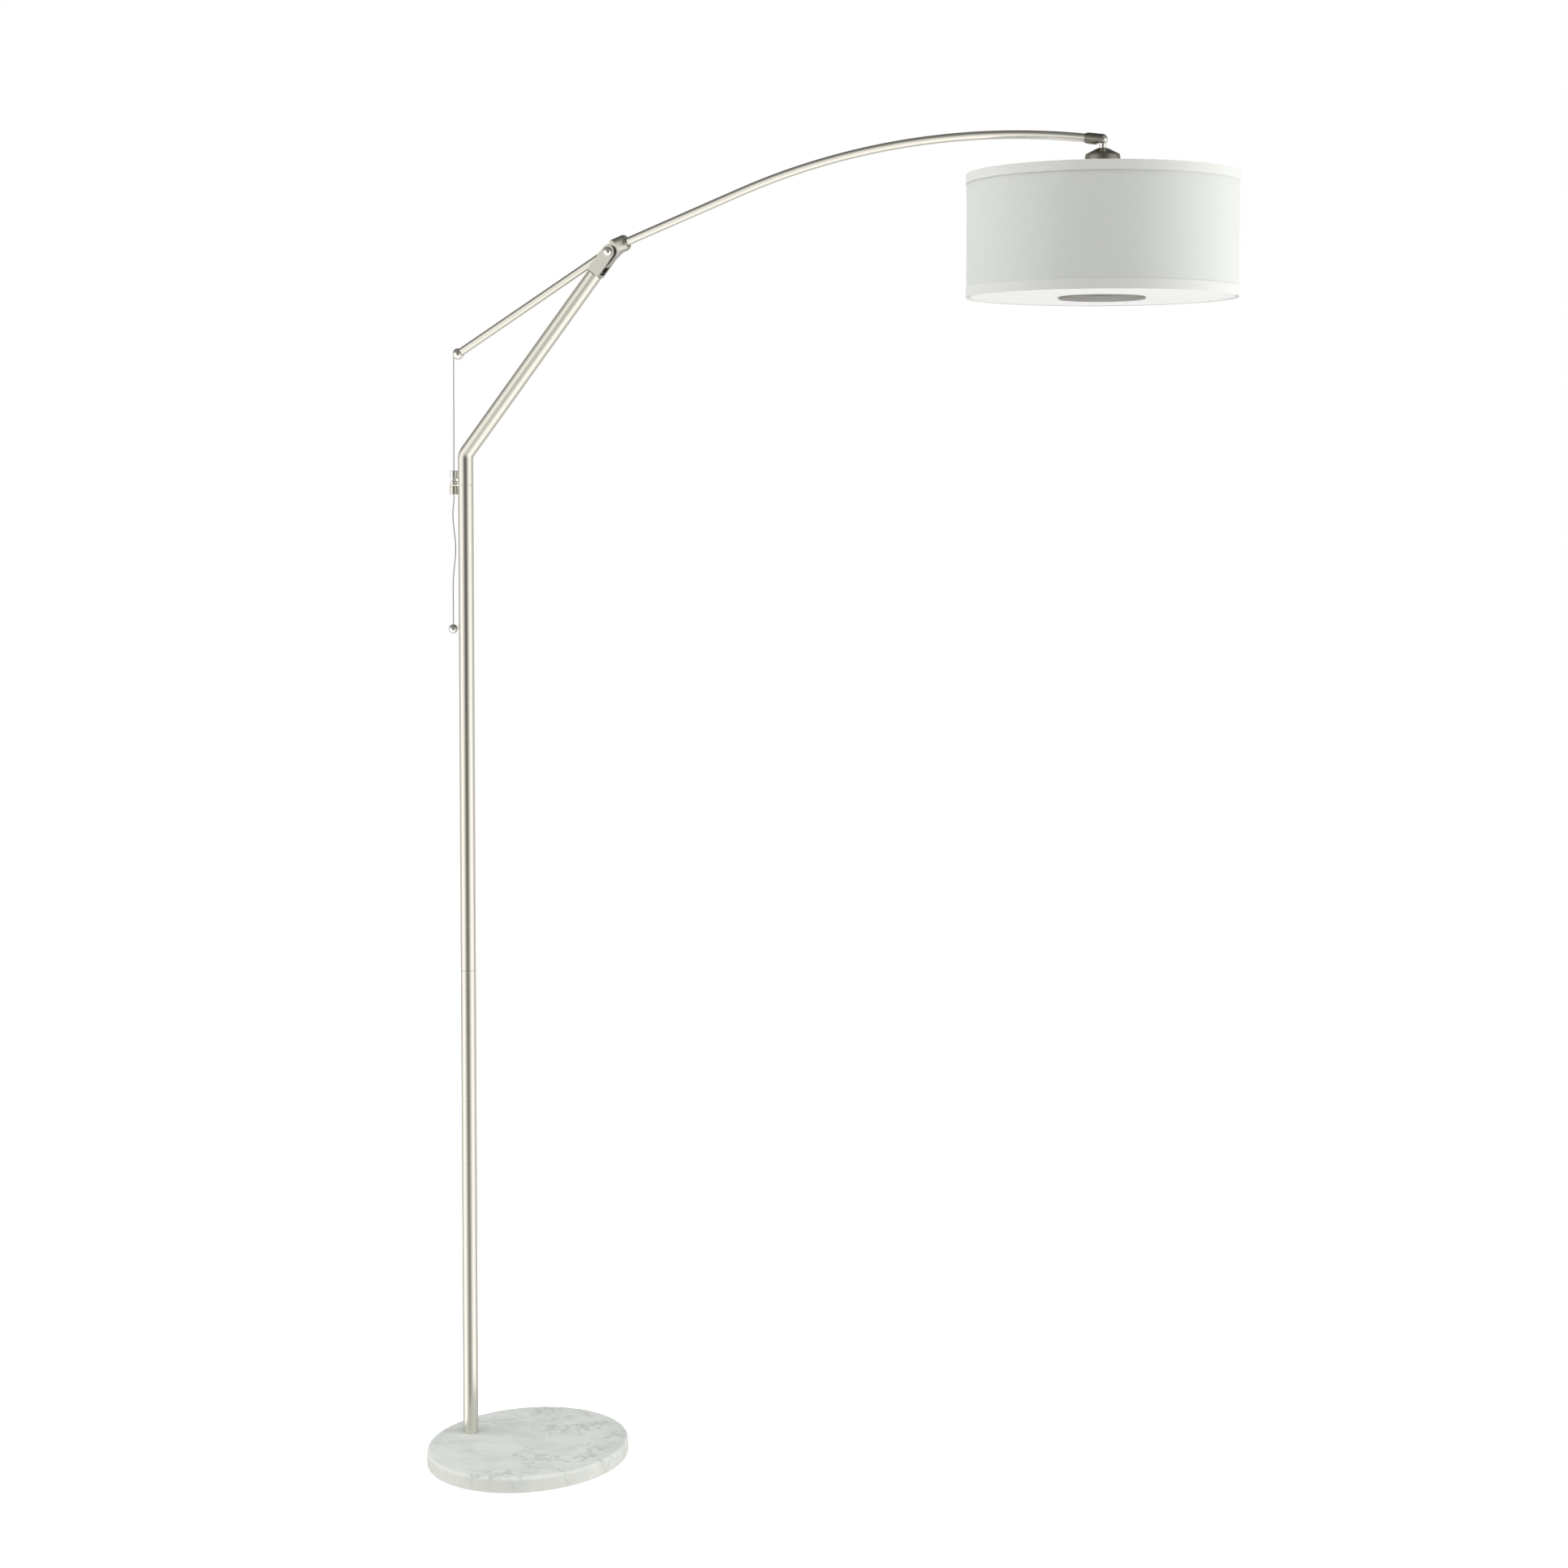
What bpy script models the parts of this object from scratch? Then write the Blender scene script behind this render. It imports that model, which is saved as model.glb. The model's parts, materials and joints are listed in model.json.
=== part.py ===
"""Arc floor lamp: marble foot, jointed pole, cable-held arc arm and a hanging drum shade.

Metres, +Z up, +X from the pole towards the shade. The origin is the centre of the foot's underside.
The arm is shown at the top of its travel, with the shade hanging level.
"""
import math

import bmesh
import bpy
from mathutils import Matrix, Vector

# Driving dimensions
GAP = 0.0003                      # play between pieces that touch
FOOT_HALF_X = 0.158               # the oval foot, half its size towards the shade and across
FOOT_HALF_Y = 0.181
FOOT_THICK = 0.025
PAD_THICK = 0.0015
POLE_X = -0.108                   # pole axis, from the centre of the foot
POLE_R = 0.0125
POLE_WALL = 0.0012
SEAM_Z = 0.7935                   # joint between the two straight pole tubes
BRACKET_Z = 1.5854                # middle of the bracket plate, under the elbow tube
ELBOW_Z = 1.6348                  # where the pole's axis bends
ELBOW_TILT = math.radians(50.15)  # rise of the bent part above level
PIVOT_RUN = 0.4146                # elbow to arm pivot, along the bent part
HUB_RUN = 0.4236                  # elbow to the point where the arm's two tubes aim
NECK_DROP = 0.0428                # pivot back down to the end of the elbow tube
ARM_R = 0.00635                   # both arm tubes
ARM_WALL = 0.0011
ARM_RISE = math.radians(19.5)     # slope of the arc tube's straight start
ARM_STRAIGHT_X = 0.2193           # length of that start, along X
ARC_R = 1.180                     # bend of the rest of the arc tube
ARC_END = math.radians(8.0)       # slope down at the arc tube's end
REAR_RISE = math.radians(29.7)    # slope of the rear tube
REAR_LEN = 0.3272                 # hub to the middle of the rear ball
REAR_BALL_R = 0.0093
CABLE_R = 0.0008
CABLE_X = POLE_X - 0.022          # the clutch's axis
CLUTCH_R = 0.0068                 # mean radius of the clutch's body
CLUTCH_NECK_R = 0.0038            # its neck, through the bracket
CLUTCH_LOW_Z = 1.5705
PLUNGER_TOP_Z = 1.6092
PULL_BALL_Z = 1.3517
PULL_BALL_R = 0.0076
TAIL_SWAY = 0.0025                # how far the cable's free end wanders from the clutch's axis
TAIL_WAVES = 1.25                 # waves in that wander
TAIL_WAVE_DROP = 0.147            # their height, from the clutch down
SWIVEL_RUN = 0.0265               # end of the arc to the middle of the swivel ball
SWIVEL_R = 0.0076
SHADE_R = 0.1996
SHADE_TOP_Z = 2.040
SHADE_HEIGHT = 0.180
TRIM_HEIGHT = 0.0145
CLOTH_THICK = 0.0012
DISC_R = 0.064
LAMP_DROOP = math.radians(15.0)   # the lamp holders point this far below level

CUT_PAST = 0.01                   # how far a drill or cutter runs past the face it goes through
BRACKET_THICK = 0.0015
BEND_EASE = 0.006                 # run of the elbow's bend, each side of the corner
BEND_CUT = 0.5                    # how far the bend cuts the corner off, from 0 to 1

# Points in the lamp's middle plane, worked out from the sizes above
FOOT_TOP = PAD_THICK + FOOT_THICK
TUBE_DIR = Vector((math.cos(ELBOW_TILT), 0, math.sin(ELBOW_TILT)))
ELBOW = Vector((POLE_X, 0, ELBOW_Z))
PIVOT = ELBOW + TUBE_DIR * PIVOT_RUN
HUB = ELBOW + TUBE_DIR * HUB_RUN
TUBE_END = PIVOT - TUBE_DIR * NECK_DROP
ARM_DIR = Vector((math.cos(ARM_RISE), 0, math.sin(ARM_RISE)))
REAR_DIR = Vector((-math.cos(REAR_RISE), 0, -math.sin(REAR_RISE)))
REAR_BALL = HUB + REAR_DIR * REAR_LEN
ARC_START = HUB + ARM_DIR * (ARM_STRAIGHT_X / math.cos(ARM_RISE))
ARC_CENTRE = ARC_START + Vector((math.sin(ARM_RISE), 0, -math.cos(ARM_RISE))) * ARC_R
ARC_TIP = ARC_CENTRE + Vector((math.sin(ARC_END), 0, math.cos(ARC_END))) * ARC_R
TIP_DIR = Vector((math.cos(ARC_END), 0, -math.sin(ARC_END)))
SWIVEL = ARC_TIP + TIP_DIR * SWIVEL_RUN
SHADE_LOW_Z = SHADE_TOP_Z - SHADE_HEIGHT

# Finishes: colour, roughness, metallic
FINISHES = {
    "brushed_nickel": ((0.62, 0.60, 0.56), 0.34, 1.0),
    "polished_nickel": ((0.78, 0.77, 0.74), 0.12, 1.0),
    "dark_nickel": ((0.40, 0.37, 0.33), 0.38, 1.0),
    "steel": ((0.55, 0.55, 0.55), 0.35, 1.0),
    "steel_cable": ((0.62, 0.62, 0.64), 0.40, 1.0),
    "marble": ((0.86, 0.87, 0.84), 0.25, 0.0),
    "felt": ((0.10, 0.10, 0.10), 0.95, 0.0),
    "nylon": ((0.85, 0.85, 0.82), 0.50, 0.0),
    "linen": ((0.85, 0.86, 0.82), 0.85, 0.0),
    "trim_tape": ((0.88, 0.88, 0.84), 0.80, 0.0),
    "opal": ((0.95, 0.95, 0.94), 0.45, 0.0),
    "bulb_glass": ((0.95, 0.94, 0.90), 0.20, 0.0),
    "phenolic": ((0.06, 0.06, 0.06), 0.45, 0.0),
    "white_enamel": ((0.88, 0.88, 0.86), 0.40, 0.0),
}


def clear_scene():
    for obj in list(bpy.data.objects):
        bpy.data.objects.remove(obj, do_unlink=True)


def new_collection(name):
    col = bpy.data.collections.new(name)
    bpy.context.scene.collection.children.link(col)
    return col


clear_scene()
PARTS = new_collection("arc_floor_lamp")
CUTTERS = new_collection("cutters")


def finish_material(name):
    """One Principled BSDF material for each finish."""
    mat = bpy.data.materials.get(name)
    if mat is None:
        colour, rough, metal = FINISHES[name]
        mat = bpy.data.materials.new(name)
        mat.use_nodes = True
        shader = mat.node_tree.nodes["Principled BSDF"]
        shader.inputs["Base Color"].default_value = (*colour, 1.0)
        shader.inputs["Roughness"].default_value = rough
        shader.inputs["Metallic"].default_value = metal
    return mat


def add_object(name, mesh, finish, at=(0, 0, 0), turn=(0, 0, 0), parent=None):
    """Link a mesh as a part. Place and turn are in world axes, also under a parent empty."""
    obj = bpy.data.objects.new(name, mesh)
    PARTS.objects.link(obj)
    if finish:
        obj.data.materials.append(finish_material(finish))
    obj.location = at
    obj.rotation_euler = turn
    if parent is not None:
        obj.parent = parent
        obj.location = Vector(at) - parent.location
    return obj


def add_empty(name, at):
    empty = bpy.data.objects.new(name, None)
    empty.location = at
    PARTS.objects.link(empty)
    return empty


def pitch(direction):
    """Euler turn that brings +Z onto a direction in the XZ plane."""
    return (0, math.atan2(direction[0], direction[2]), 0)


def mesh_from(bm, name):
    mesh = bpy.data.meshes.new(name)
    bm.to_mesh(mesh)
    bm.free()
    return mesh


def smooth(obj, angle=35):
    obj.data.shade_smooth()
    obj.data.set_sharp_from_angle(angle=math.radians(angle))


def turned(name, profile, finish, segments=32, hollow=False, **place):
    """A turned piece: (radius, height) points run down the outer side, then up the bore if hollow."""
    bm = bmesh.new()
    points = [bm.verts.new((r, 0, z)) for r, z in profile]
    for a, b in zip(points, points[1:]):
        bm.edges.new((a, b))
    if hollow:
        bm.edges.new((points[-1], points[0]))
    obj = add_object(name, mesh_from(bm, name), finish, **place)
    screw = obj.modifiers.new("turn", "SCREW")
    screw.axis = "Z"
    screw.steps = segments
    screw.render_steps = segments
    screw.use_merge_vertices = True
    screw.merge_threshold = 0.00001
    screw.use_smooth_shade = True
    return obj


def sleeve(name, outer, inner, low, high, finish, segments=32, **place):
    """A turned ring or tube with square ends."""
    profile = [(outer, high), (outer, low), (inner, low), (inner, high)]
    return turned(name, profile, finish, segments, hollow=True, **place)


def hex_nut(name, outer, bore, low, high, at, parent=None):
    nut = add_object(name, cylinder_mesh(name, outer, low, high, 6), "steel", at=at, parent=parent)
    hole = cylinder_mesh(name + "_bore", bore, low - CUT_PAST, high + CUT_PAST, 24)
    boolean(nut, name + "_bore", hole, "DIFFERENCE", at)
    return nut


def plate(name, outline, thick, finish, **place):
    """A flat outline in the XZ plane, as thick as asked along Y, made a mesh so that it can be cut."""
    curve = bpy.data.curves.new(name + "_outline", "CURVE")
    curve.dimensions = "2D"
    curve.fill_mode = "BOTH"
    curve.extrude = thick / 2
    spline = curve.splines.new("POLY")
    spline.points.add(len(outline) - 1)
    for point, (x, z) in zip(spline.points, outline):
        point.co = (x, z, 0, 1)
    spline.use_cyclic_u = True
    guide = bpy.data.objects.new(name + "_outline", curve)
    PARTS.objects.link(guide)
    guide.rotation_euler = (math.pi / 2, 0, 0)
    return mesh_from_curve(name, guide, finish, **place)


def mesh_from_curve(name, guide, finish, **place):
    """Turn a curve object into a closed mesh part, and remove the curve."""
    bpy.context.view_layer.update()
    depsgraph = bpy.context.evaluated_depsgraph_get()
    mesh = bpy.data.meshes.new_from_object(guide.evaluated_get(depsgraph))
    mesh.transform(guide.matrix_world)
    curve = guide.data
    bpy.data.objects.remove(guide)
    bpy.data.curves.remove(curve)
    bm = bmesh.new()
    bm.from_mesh(mesh)
    bmesh.ops.remove_doubles(bm, verts=bm.verts, dist=0.000001)
    bmesh.ops.recalc_face_normals(bm, faces=bm.faces)
    bm.to_mesh(mesh)
    bm.free()
    mesh.name = name
    mesh.materials.clear()
    return add_object(name, mesh, finish, **place)


def swept(name, points, radius, finish, sides=3, caps=True, **place):
    """A round rod, wire or tube skin along points."""
    curve = bpy.data.curves.new(name + "_path", "CURVE")
    curve.dimensions = "3D"
    curve.bevel_depth = radius
    curve.bevel_resolution = sides
    curve.use_fill_caps = caps
    spline = curve.splines.new("POLY")
    spline.points.add(len(points) - 1)
    for point, co in zip(spline.points, points):
        point.co = (*co, 1)
    guide = bpy.data.objects.new(name + "_path", curve)
    PARTS.objects.link(guide)
    return mesh_from_curve(name, guide, finish, **place)


def tube(name, points, radius, wall, finish, sides=4, **place):
    """An open-ended tube: a swept skin with an inward wall."""
    obj = swept(name, points, radius, finish, sides=sides, caps=False, **place)
    shell = obj.modifiers.new("wall", "SOLIDIFY")
    shell.thickness = wall
    shell.offset = -1
    shell.use_even_offset = True
    smooth(obj)
    return obj


def cylinder_mesh(name, radius, low, high, segments=32):
    bm = bmesh.new()
    bmesh.ops.create_cone(
        bm, cap_ends=True, segments=segments, radius1=radius, radius2=radius, depth=high - low
    )
    bmesh.ops.translate(bm, verts=bm.verts, vec=(0, 0, (high + low) / 2))
    return mesh_from(bm, name)


def box_mesh(name, low, high):
    bm = bmesh.new()
    bmesh.ops.create_cube(bm, size=1.0)
    size = Vector(high) - Vector(low)
    middle = (Vector(high) + Vector(low)) / 2
    bmesh.ops.transform(bm, verts=bm.verts, matrix=Matrix.Translation(middle) @ Matrix.Diagonal((*size, 1)))
    return mesh_from(bm, name)


def ball_mesh(name, radius, segments=20, rings=12):
    bm = bmesh.new()
    bmesh.ops.create_uvsphere(bm, u_segments=segments, v_segments=rings, radius=radius)
    return mesh_from(bm, name)


def boolean(obj, name, mesh, operation, at=(0, 0, 0), turn=(0, 0, 0)):
    """Cut or join a mesh given in world axes into a part."""
    tool = bpy.data.objects.new(name, mesh)
    tool.location = at
    tool.rotation_euler = turn
    tool.hide_render = True
    tool.display_type = "WIRE"
    CUTTERS.objects.link(tool)
    step = obj.modifiers.new(name, "BOOLEAN")
    step.operation = operation
    step.solver = "EXACT"
    step.object = tool
    return tool


def bevel(obj, width, segments=2, angle=40):
    edge = obj.modifiers.new("edges", "BEVEL")
    edge.width = width
    edge.segments = segments
    edge.limit_method = "ANGLE"
    edge.angle_limit = math.radians(angle)


def arc_points(centre, radius, start, end, count):
    """Points on a circle in a plane, from one angle to another."""
    steps = [start + (end - start) * i / (count - 1) for i in range(count)]
    return [(centre[0] + radius * math.cos(a), centre[1] + radius * math.sin(a)) for a in steps]


def hull(points):
    """Convex outline round a set of points in a plane, anticlockwise."""
    points = sorted(set(points))

    def chain(ordered):
        line = []
        for p in ordered:
            while len(line) > 1 and cross(line[-2], line[-1], p) <= 1e-12:
                line.pop()
            line.append(p)
        return line[:-1]

    return chain(points) + chain(points[::-1])


def cross(a, b, c):
    return (b[0] - a[0]) * (c[1] - a[1]) - (b[1] - a[1]) * (c[0] - a[0])


# Foot -----------------------------------------------------------------------------------------

def oval(name, inset, low, high, finish, segments=56):
    bm = bmesh.new()
    bmesh.ops.create_cone(bm, cap_ends=True, segments=segments, radius1=1, radius2=1, depth=high - low)
    size = Matrix.Diagonal((FOOT_HALF_X - inset, FOOT_HALF_Y - inset, 1, 1))
    bmesh.ops.transform(bm, verts=bm.verts, matrix=Matrix.Translation((0, 0, (low + high) / 2)) @ size)
    return add_object(name, mesh_from(bm, name), finish)


STUD_R = 0.006                    # threaded stud that holds the pole down
STUD_HOLE_R = 0.0065
WELL_R = 0.021                    # counterbore under the foot
WELL_TOP = 0.0135
WASHER_LOW = 0.0105
NUT_LOW = 0.0035
EDGE_ROUND = 0.005                # the slab's rounded edges
PAD_INSET = 0.007
PLUG_TOP = 0.058                  # top of the threaded plug inside the pole


def make_foot():
    """Marble slab on a felt pad, with a counterbored hole under the pole."""
    axis = (POLE_X, 0, 0)
    slab = oval("marble_base", 0, PAD_THICK, FOOT_TOP, "marble")
    bevel(slab, EDGE_ROUND, 2, 60)
    hole = cylinder_mesh("stud_hole", STUD_HOLE_R, 0, FOOT_TOP + CUT_PAST, 24)
    boolean(slab, "stud_hole", hole, "DIFFERENCE", axis)
    well = cylinder_mesh("nut_well", WELL_R, -CUT_PAST, WELL_TOP)
    boolean(slab, "nut_well", well, "DIFFERENCE", axis)
    pad = oval("felt_pad", PAD_INSET, 0, PAD_THICK - GAP, "felt")
    hole = cylinder_mesh("pad_hole", WELL_R + 0.0015, -CUT_PAST, CUT_PAST)
    boolean(pad, "pad_hole", hole, "DIFFERENCE", axis)
    clear = STUD_R + GAP
    sleeve("base_washer", 0.018, clear + 0.0001, WASHER_LOW, WELL_TOP - GAP, "steel", at=axis)
    hex_nut("base_nut", 0.011, clear, NUT_LOW, WASHER_LOW - GAP, axis)
    sleeve("base_stud", STUD_R, 0.004, NUT_LOW - 0.0005, PLUG_TOP - 0.002, "steel", 20, at=axis)


# Pole -----------------------------------------------------------------------------------------

def make_pole():
    """Two straight tubes and a bent one, screwed together by couplers inside them."""
    place = dict(at=(POLE_X, 0, 0))
    bore = POLE_R - POLE_WALL
    plug_r = bore - GAP
    low = FOOT_TOP + GAP
    bracket_low = BRACKET_Z - BRACKET_THICK / 2
    bracket_high = BRACKET_Z + BRACKET_THICK / 2
    grip = 0.03
    wire_r = 0.007
    sleeve("pole_plug", plug_r, STUD_R + GAP, low, PLUG_TOP, "steel", 24, **place)
    sleeve("pole_lower", POLE_R, bore, low, SEAM_Z, "brushed_nickel", **place)
    sleeve("pole_coupler_lower", plug_r, wire_r, SEAM_Z - grip, SEAM_Z + grip, "steel", 24, **place)
    sleeve("pole_middle", POLE_R, bore, SEAM_Z + GAP, bracket_low - GAP, "brushed_nickel", **place)
    low = BRACKET_Z - grip
    high = BRACKET_Z + grip
    sleeve("pole_coupler_upper", plug_r, wire_r, low, high, "steel", 24, **place)
    start = Vector((POLE_X, 0, bracket_high + GAP))
    before = ELBOW - Vector((0, 0, BEND_EASE))
    after = ELBOW + TUBE_DIR * BEND_EASE
    corner = ELBOW.lerp((before + after) / 2, BEND_CUT)
    path = [start, before, corner, after, TUBE_END]
    tube("elbow_tube", path, POLE_R, POLE_WALL, "brushed_nickel", sides=6)
    make_bracket(bracket_low, bracket_high, plug_r)


def make_bracket(low, high, plug_r):
    """Plate clamped between two pole tubes; it carries the cable clutch behind the pole."""
    reach = POLE_X - CABLE_X
    lip = 0.0004
    ring = arc_points((0, 0), POLE_R + lip, 0, 2 * math.pi, 33)[:-1]
    ear = arc_points((-reach, 0), CLUTCH_R + 2 * lip, 0, 2 * math.pi, 25)[:-1]
    bracket = plate("clutch_bracket", hull(ring + ear), high - low, "polished_nickel")
    bracket.rotation_euler = (math.pi / 2, 0, 0)
    bracket.location = (POLE_X, 0, BRACKET_Z)
    hole = cylinder_mesh("coupler_hole", plug_r + GAP, low - CUT_PAST, high + CUT_PAST)
    boolean(bracket, "coupler_hole", hole, "DIFFERENCE", (POLE_X, 0, 0))
    hole = cylinder_mesh("clutch_hole", CLUTCH_NECK_R + GAP + 0.0001, low - CUT_PAST, high + CUT_PAST, 24)
    boolean(bracket, "clutch_hole", hole, "DIFFERENCE", (CABLE_X, 0, 0))


# Fork and pivot -------------------------------------------------------------------------------

FORK_HALF = 0.0108                # half the fork's width, and half its depth
SLOT_HALF = 0.0068                # half the gap between its cheeks
BOLT_R = 0.0040
FORK_FLOOR = 0.004                # thickness of the fork's web
SCREW_HOLE_R = 0.0028


def make_fork():
    """U-shaped fork on the end of the elbow tube, with the pivot bolt through its cheeks."""
    turn = pitch(TUBE_DIR)
    base = GAP
    crown = arc_points((0, NECK_DROP), FORK_HALF, 0, math.pi, 17)
    outline = [(-FORK_HALF, base), (FORK_HALF, base)] + crown
    fork = plate("fork", outline, 2 * FORK_HALF, "brushed_nickel", at=TUBE_END, turn=turn)
    bevel(fork, 0.0006, 1)
    slot = box_mesh("fork_slot", (-0.02, -SLOT_HALF, base + FORK_FLOOR), (0.02, SLOT_HALF, 0.08))
    boolean(fork, "fork_slot", slot, "DIFFERENCE", TUBE_END, turn)
    across = (math.pi / 2, 0, 0)
    pin = cylinder_mesh("fork_pin_hole", BOLT_R + GAP, -0.03, 0.03, 24)
    boolean(fork, "fork_pin_hole", pin, "DIFFERENCE", PIVOT, across)
    wire = cylinder_mesh("fork_screw_hole", SCREW_HOLE_R, -CUT_PAST, 0.02, 20)
    boolean(fork, "fork_screw_hole", wire, "DIFFERENCE", TUBE_END, turn)
    plug_r = POLE_R - POLE_WALL - GAP
    sleeve("fork_plug", plug_r, SCREW_HOLE_R, -0.018, -0.0004, "steel", 24, at=TUBE_END, turn=turn)
    head_r = 0.0046
    head_low = FORK_FLOOR + 0.0007
    head_high = head_low + 0.0015
    shank_r = SCREW_HOLE_R - GAP
    tip = -0.014
    screw = [(0, head_high), (head_r, head_high), (head_r, head_low), (shank_r, head_low)]
    screw += [(shank_r, tip), (0, tip)]
    turned("fork_screw", screw, "steel", 20, at=TUBE_END, turn=turn)


def make_pivot():
    """Dome-headed bolt, its cap nut and two friction washers, on the arm's axis."""
    cheek = FORK_HALF + GAP
    dome_high = 0.0062
    dome_spread = 1.24
    nut_r = 0.0068
    thread = 0.004
    dome = arc_points((0, cheek), dome_high, math.pi / 2, 0, 7)
    head = [(r * dome_spread, z) for r, z in dome]
    shank = [(BOLT_R, cheek), (BOLT_R, -cheek - thread), (0, -cheek - thread)]
    turned("pivot_bolt", head + shank, "polished_nickel", 28, at=PIVOT, turn=(math.pi / 2, 0, 0))
    cap = arc_points((0, cheek), nut_r, math.pi / 2, 0, 6)
    deep = cheek + thread + 0.0005
    bore = [(BOLT_R + GAP, cheek), (BOLT_R + GAP, deep), (0, deep)]
    turned("pivot_nut", cap + bore, "polished_nickel", 28, at=PIVOT, turn=(-math.pi / 2, 0, 0))
    for name, side in (("friction_washer_near", 1), ("friction_washer_far", -1)):
        turn = (side * math.pi / 2, 0, 0)
        low = TONGUE_HALF + GAP
        sleeve(name, 0.0078, BOLT_R + GAP, low, SLOT_HALF - GAP, "nylon", 24, at=PIVOT, turn=turn)


# Arm ------------------------------------------------------------------------------------------

TONGUE_HALF = 0.005
BARREL_R = 0.0130
BARREL_END = 0.026                # from the hub to the barrel's nose
CHEEK_R = 0.0185                  # how far the tongue's flats reach from the pivot
REAR_START = 0.0305               # hub to the start of the rear tube
SPIGOT_IN = 0.018                 # how far a spigot reaches into its tube
SPIGOT_EASE = 0.94                # a spigot's size against the bore, whose skin has flat sides
SOCKET_DEPTH = 0.010              # how far the arc tube goes into its end socket
SET_SCREWS = {"set_screw_rear": 0.0145, "set_screw_front": 0.0205}    # hub to each grub screw


def make_knuckle(parent):
    """Block that turns on the pivot: flat tongue in the fork, barrel in front, spigots both ways."""
    def from_pivot(s, p):
        """A point s along the fork's axis and p to its right, seen from the front."""
        right = Vector((math.sin(ELBOW_TILT), 0, -math.cos(ELBOW_TILT)))
        point = TUBE_DIR * s + right * p
        return (point.x, point.z)

    upper = arc_points((0, 0), 0.0122, 0, 2 * math.pi, 25)[:-1]
    lower = arc_points(from_pivot(-0.017, -0.0015), 0.013, 0, 2 * math.pi, 25)[:-1]
    front = HUB + ARM_DIR * 0.012 - PIVOT
    nose = arc_points((front.x, front.z), 0.0105, 0, 2 * math.pi, 21)[:-1]
    knuckle = plate(
        "knuckle", hull(upper + lower + nose), 2 * TONGUE_HALF, "brushed_nickel", at=PIVOT, parent=parent
    )
    turn = pitch(ARM_DIR)
    nose_profile = [(0, BARREL_END), (0.0085, BARREL_END), (0.0112, BARREL_END - 0.0012)]
    nose_profile += [(BARREL_R, BARREL_END - 0.005), (BARREL_R, -0.002), (0, -0.002)]
    barrel = lathe_mesh("barrel", nose_profile)
    boolean(knuckle, "barrel", barrel, "UNION", HUB, turn)
    across = (math.pi / 2, 0, 0)
    for side in (-1, 1):
        low, high = sorted((side * (TONGUE_HALF + 0.0001), side * 0.02))
        flat = cylinder_mesh(f"cheek_{side}", CHEEK_R, low, high)
        boolean(knuckle, f"cheek_{side}", flat, "DIFFERENCE", PIVOT, across)
    boss = cylinder_mesh("rear_boss", ARM_R - 0.0001, 0.0215, REAR_START + 0.004, 20)
    boolean(knuckle, "rear_boss", boss, "UNION", HUB, pitch(REAR_DIR))
    seat = cylinder_mesh("rear_seat", ARM_R + GAP, REAR_START - GAP, 0.06, 24)
    boolean(knuckle, "rear_seat", seat, "DIFFERENCE", HUB, pitch(REAR_DIR))
    pin = cylinder_mesh("knuckle_pin_hole", BOLT_R + GAP, -0.03, 0.03, 24)
    boolean(knuckle, "knuckle_pin_hole", pin, "DIFFERENCE", PIVOT, across)
    spigot_r = (ARM_R - ARM_WALL - GAP) * SPIGOT_EASE
    rear = cylinder_mesh("rear_spigot", spigot_r, 0.024, REAR_START + SPIGOT_IN, 16)
    boolean(knuckle, "rear_spigot", rear, "UNION", HUB, pitch(REAR_DIR))
    front = cylinder_mesh("front_spigot", spigot_r, 0.020, BARREL_END + SPIGOT_IN, 16)
    boolean(knuckle, "front_spigot", front, "UNION", HUB, turn)
    for name, run in SET_SCREWS.items():
        hole = cylinder_mesh(name + "_hole", 0.0021, 0.0085, 0.02, 12)
        boolean(knuckle, name + "_hole", hole, "DIFFERENCE", HUB + ARM_DIR * run, under_arm())
        grub = cylinder_mesh(name, 0.0018, 0.0088, 0.0126, 12)
        add_object(name, grub, "steel", at=HUB + ARM_DIR * run, turn=under_arm(), parent=parent)


def under_arm():
    """Turn that points +Z down from the underside of the arc tube."""
    return pitch(Vector((math.sin(ARM_RISE), 0, -math.cos(ARM_RISE))))


def lathe_mesh(name, profile, segments=32):
    """A closed turned mesh from (radius, height) points that start and end on the axis."""
    bm = bmesh.new()
    points = [bm.verts.new((r, 0, z)) for r, z in profile]
    edges = [bm.edges.new(pair) for pair in zip(points, points[1:])]
    bmesh.ops.spin(
        bm, geom=points + edges, axis=(0, 0, 1), cent=(0, 0, 0), angle=2 * math.pi, steps=segments,
        use_merge=True,
    )
    bmesh.ops.remove_doubles(bm, verts=bm.verts, dist=0.00001)
    bmesh.ops.recalc_face_normals(bm, faces=bm.faces)
    return mesh_from(bm, name)


def make_arm(parent):
    """Arc tube with its end socket, and the rear tube with its ball."""
    start = HUB + ARM_DIR * (BARREL_END + GAP)
    path = [start, HUB + ARM_DIR * 0.12, ARC_START]
    steps = 15
    end_slope = ARC_END + (SOCKET_DEPTH - 0.0005) / ARC_R
    for i in range(1, steps + 1):
        slope = ARM_RISE - (ARM_RISE + end_slope) * i / steps
        path.append(ARC_CENTRE + Vector((-math.sin(slope), 0, math.cos(slope))) * ARC_R)
    tube("arc_tube", [p - PIVOT for p in path], ARM_R, ARM_WALL, "brushed_nickel", at=PIVOT, parent=parent)
    path = [HUB + REAR_DIR * REAR_START, REAR_BALL - REAR_DIR * (REAR_BALL_R - 0.0015)]
    tube("rear_tube", [p - PIVOT for p in path], ARM_R, ARM_WALL, "brushed_nickel", at=PIVOT, parent=parent)
    make_rear_ball(parent)
    make_end_socket(parent)


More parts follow.
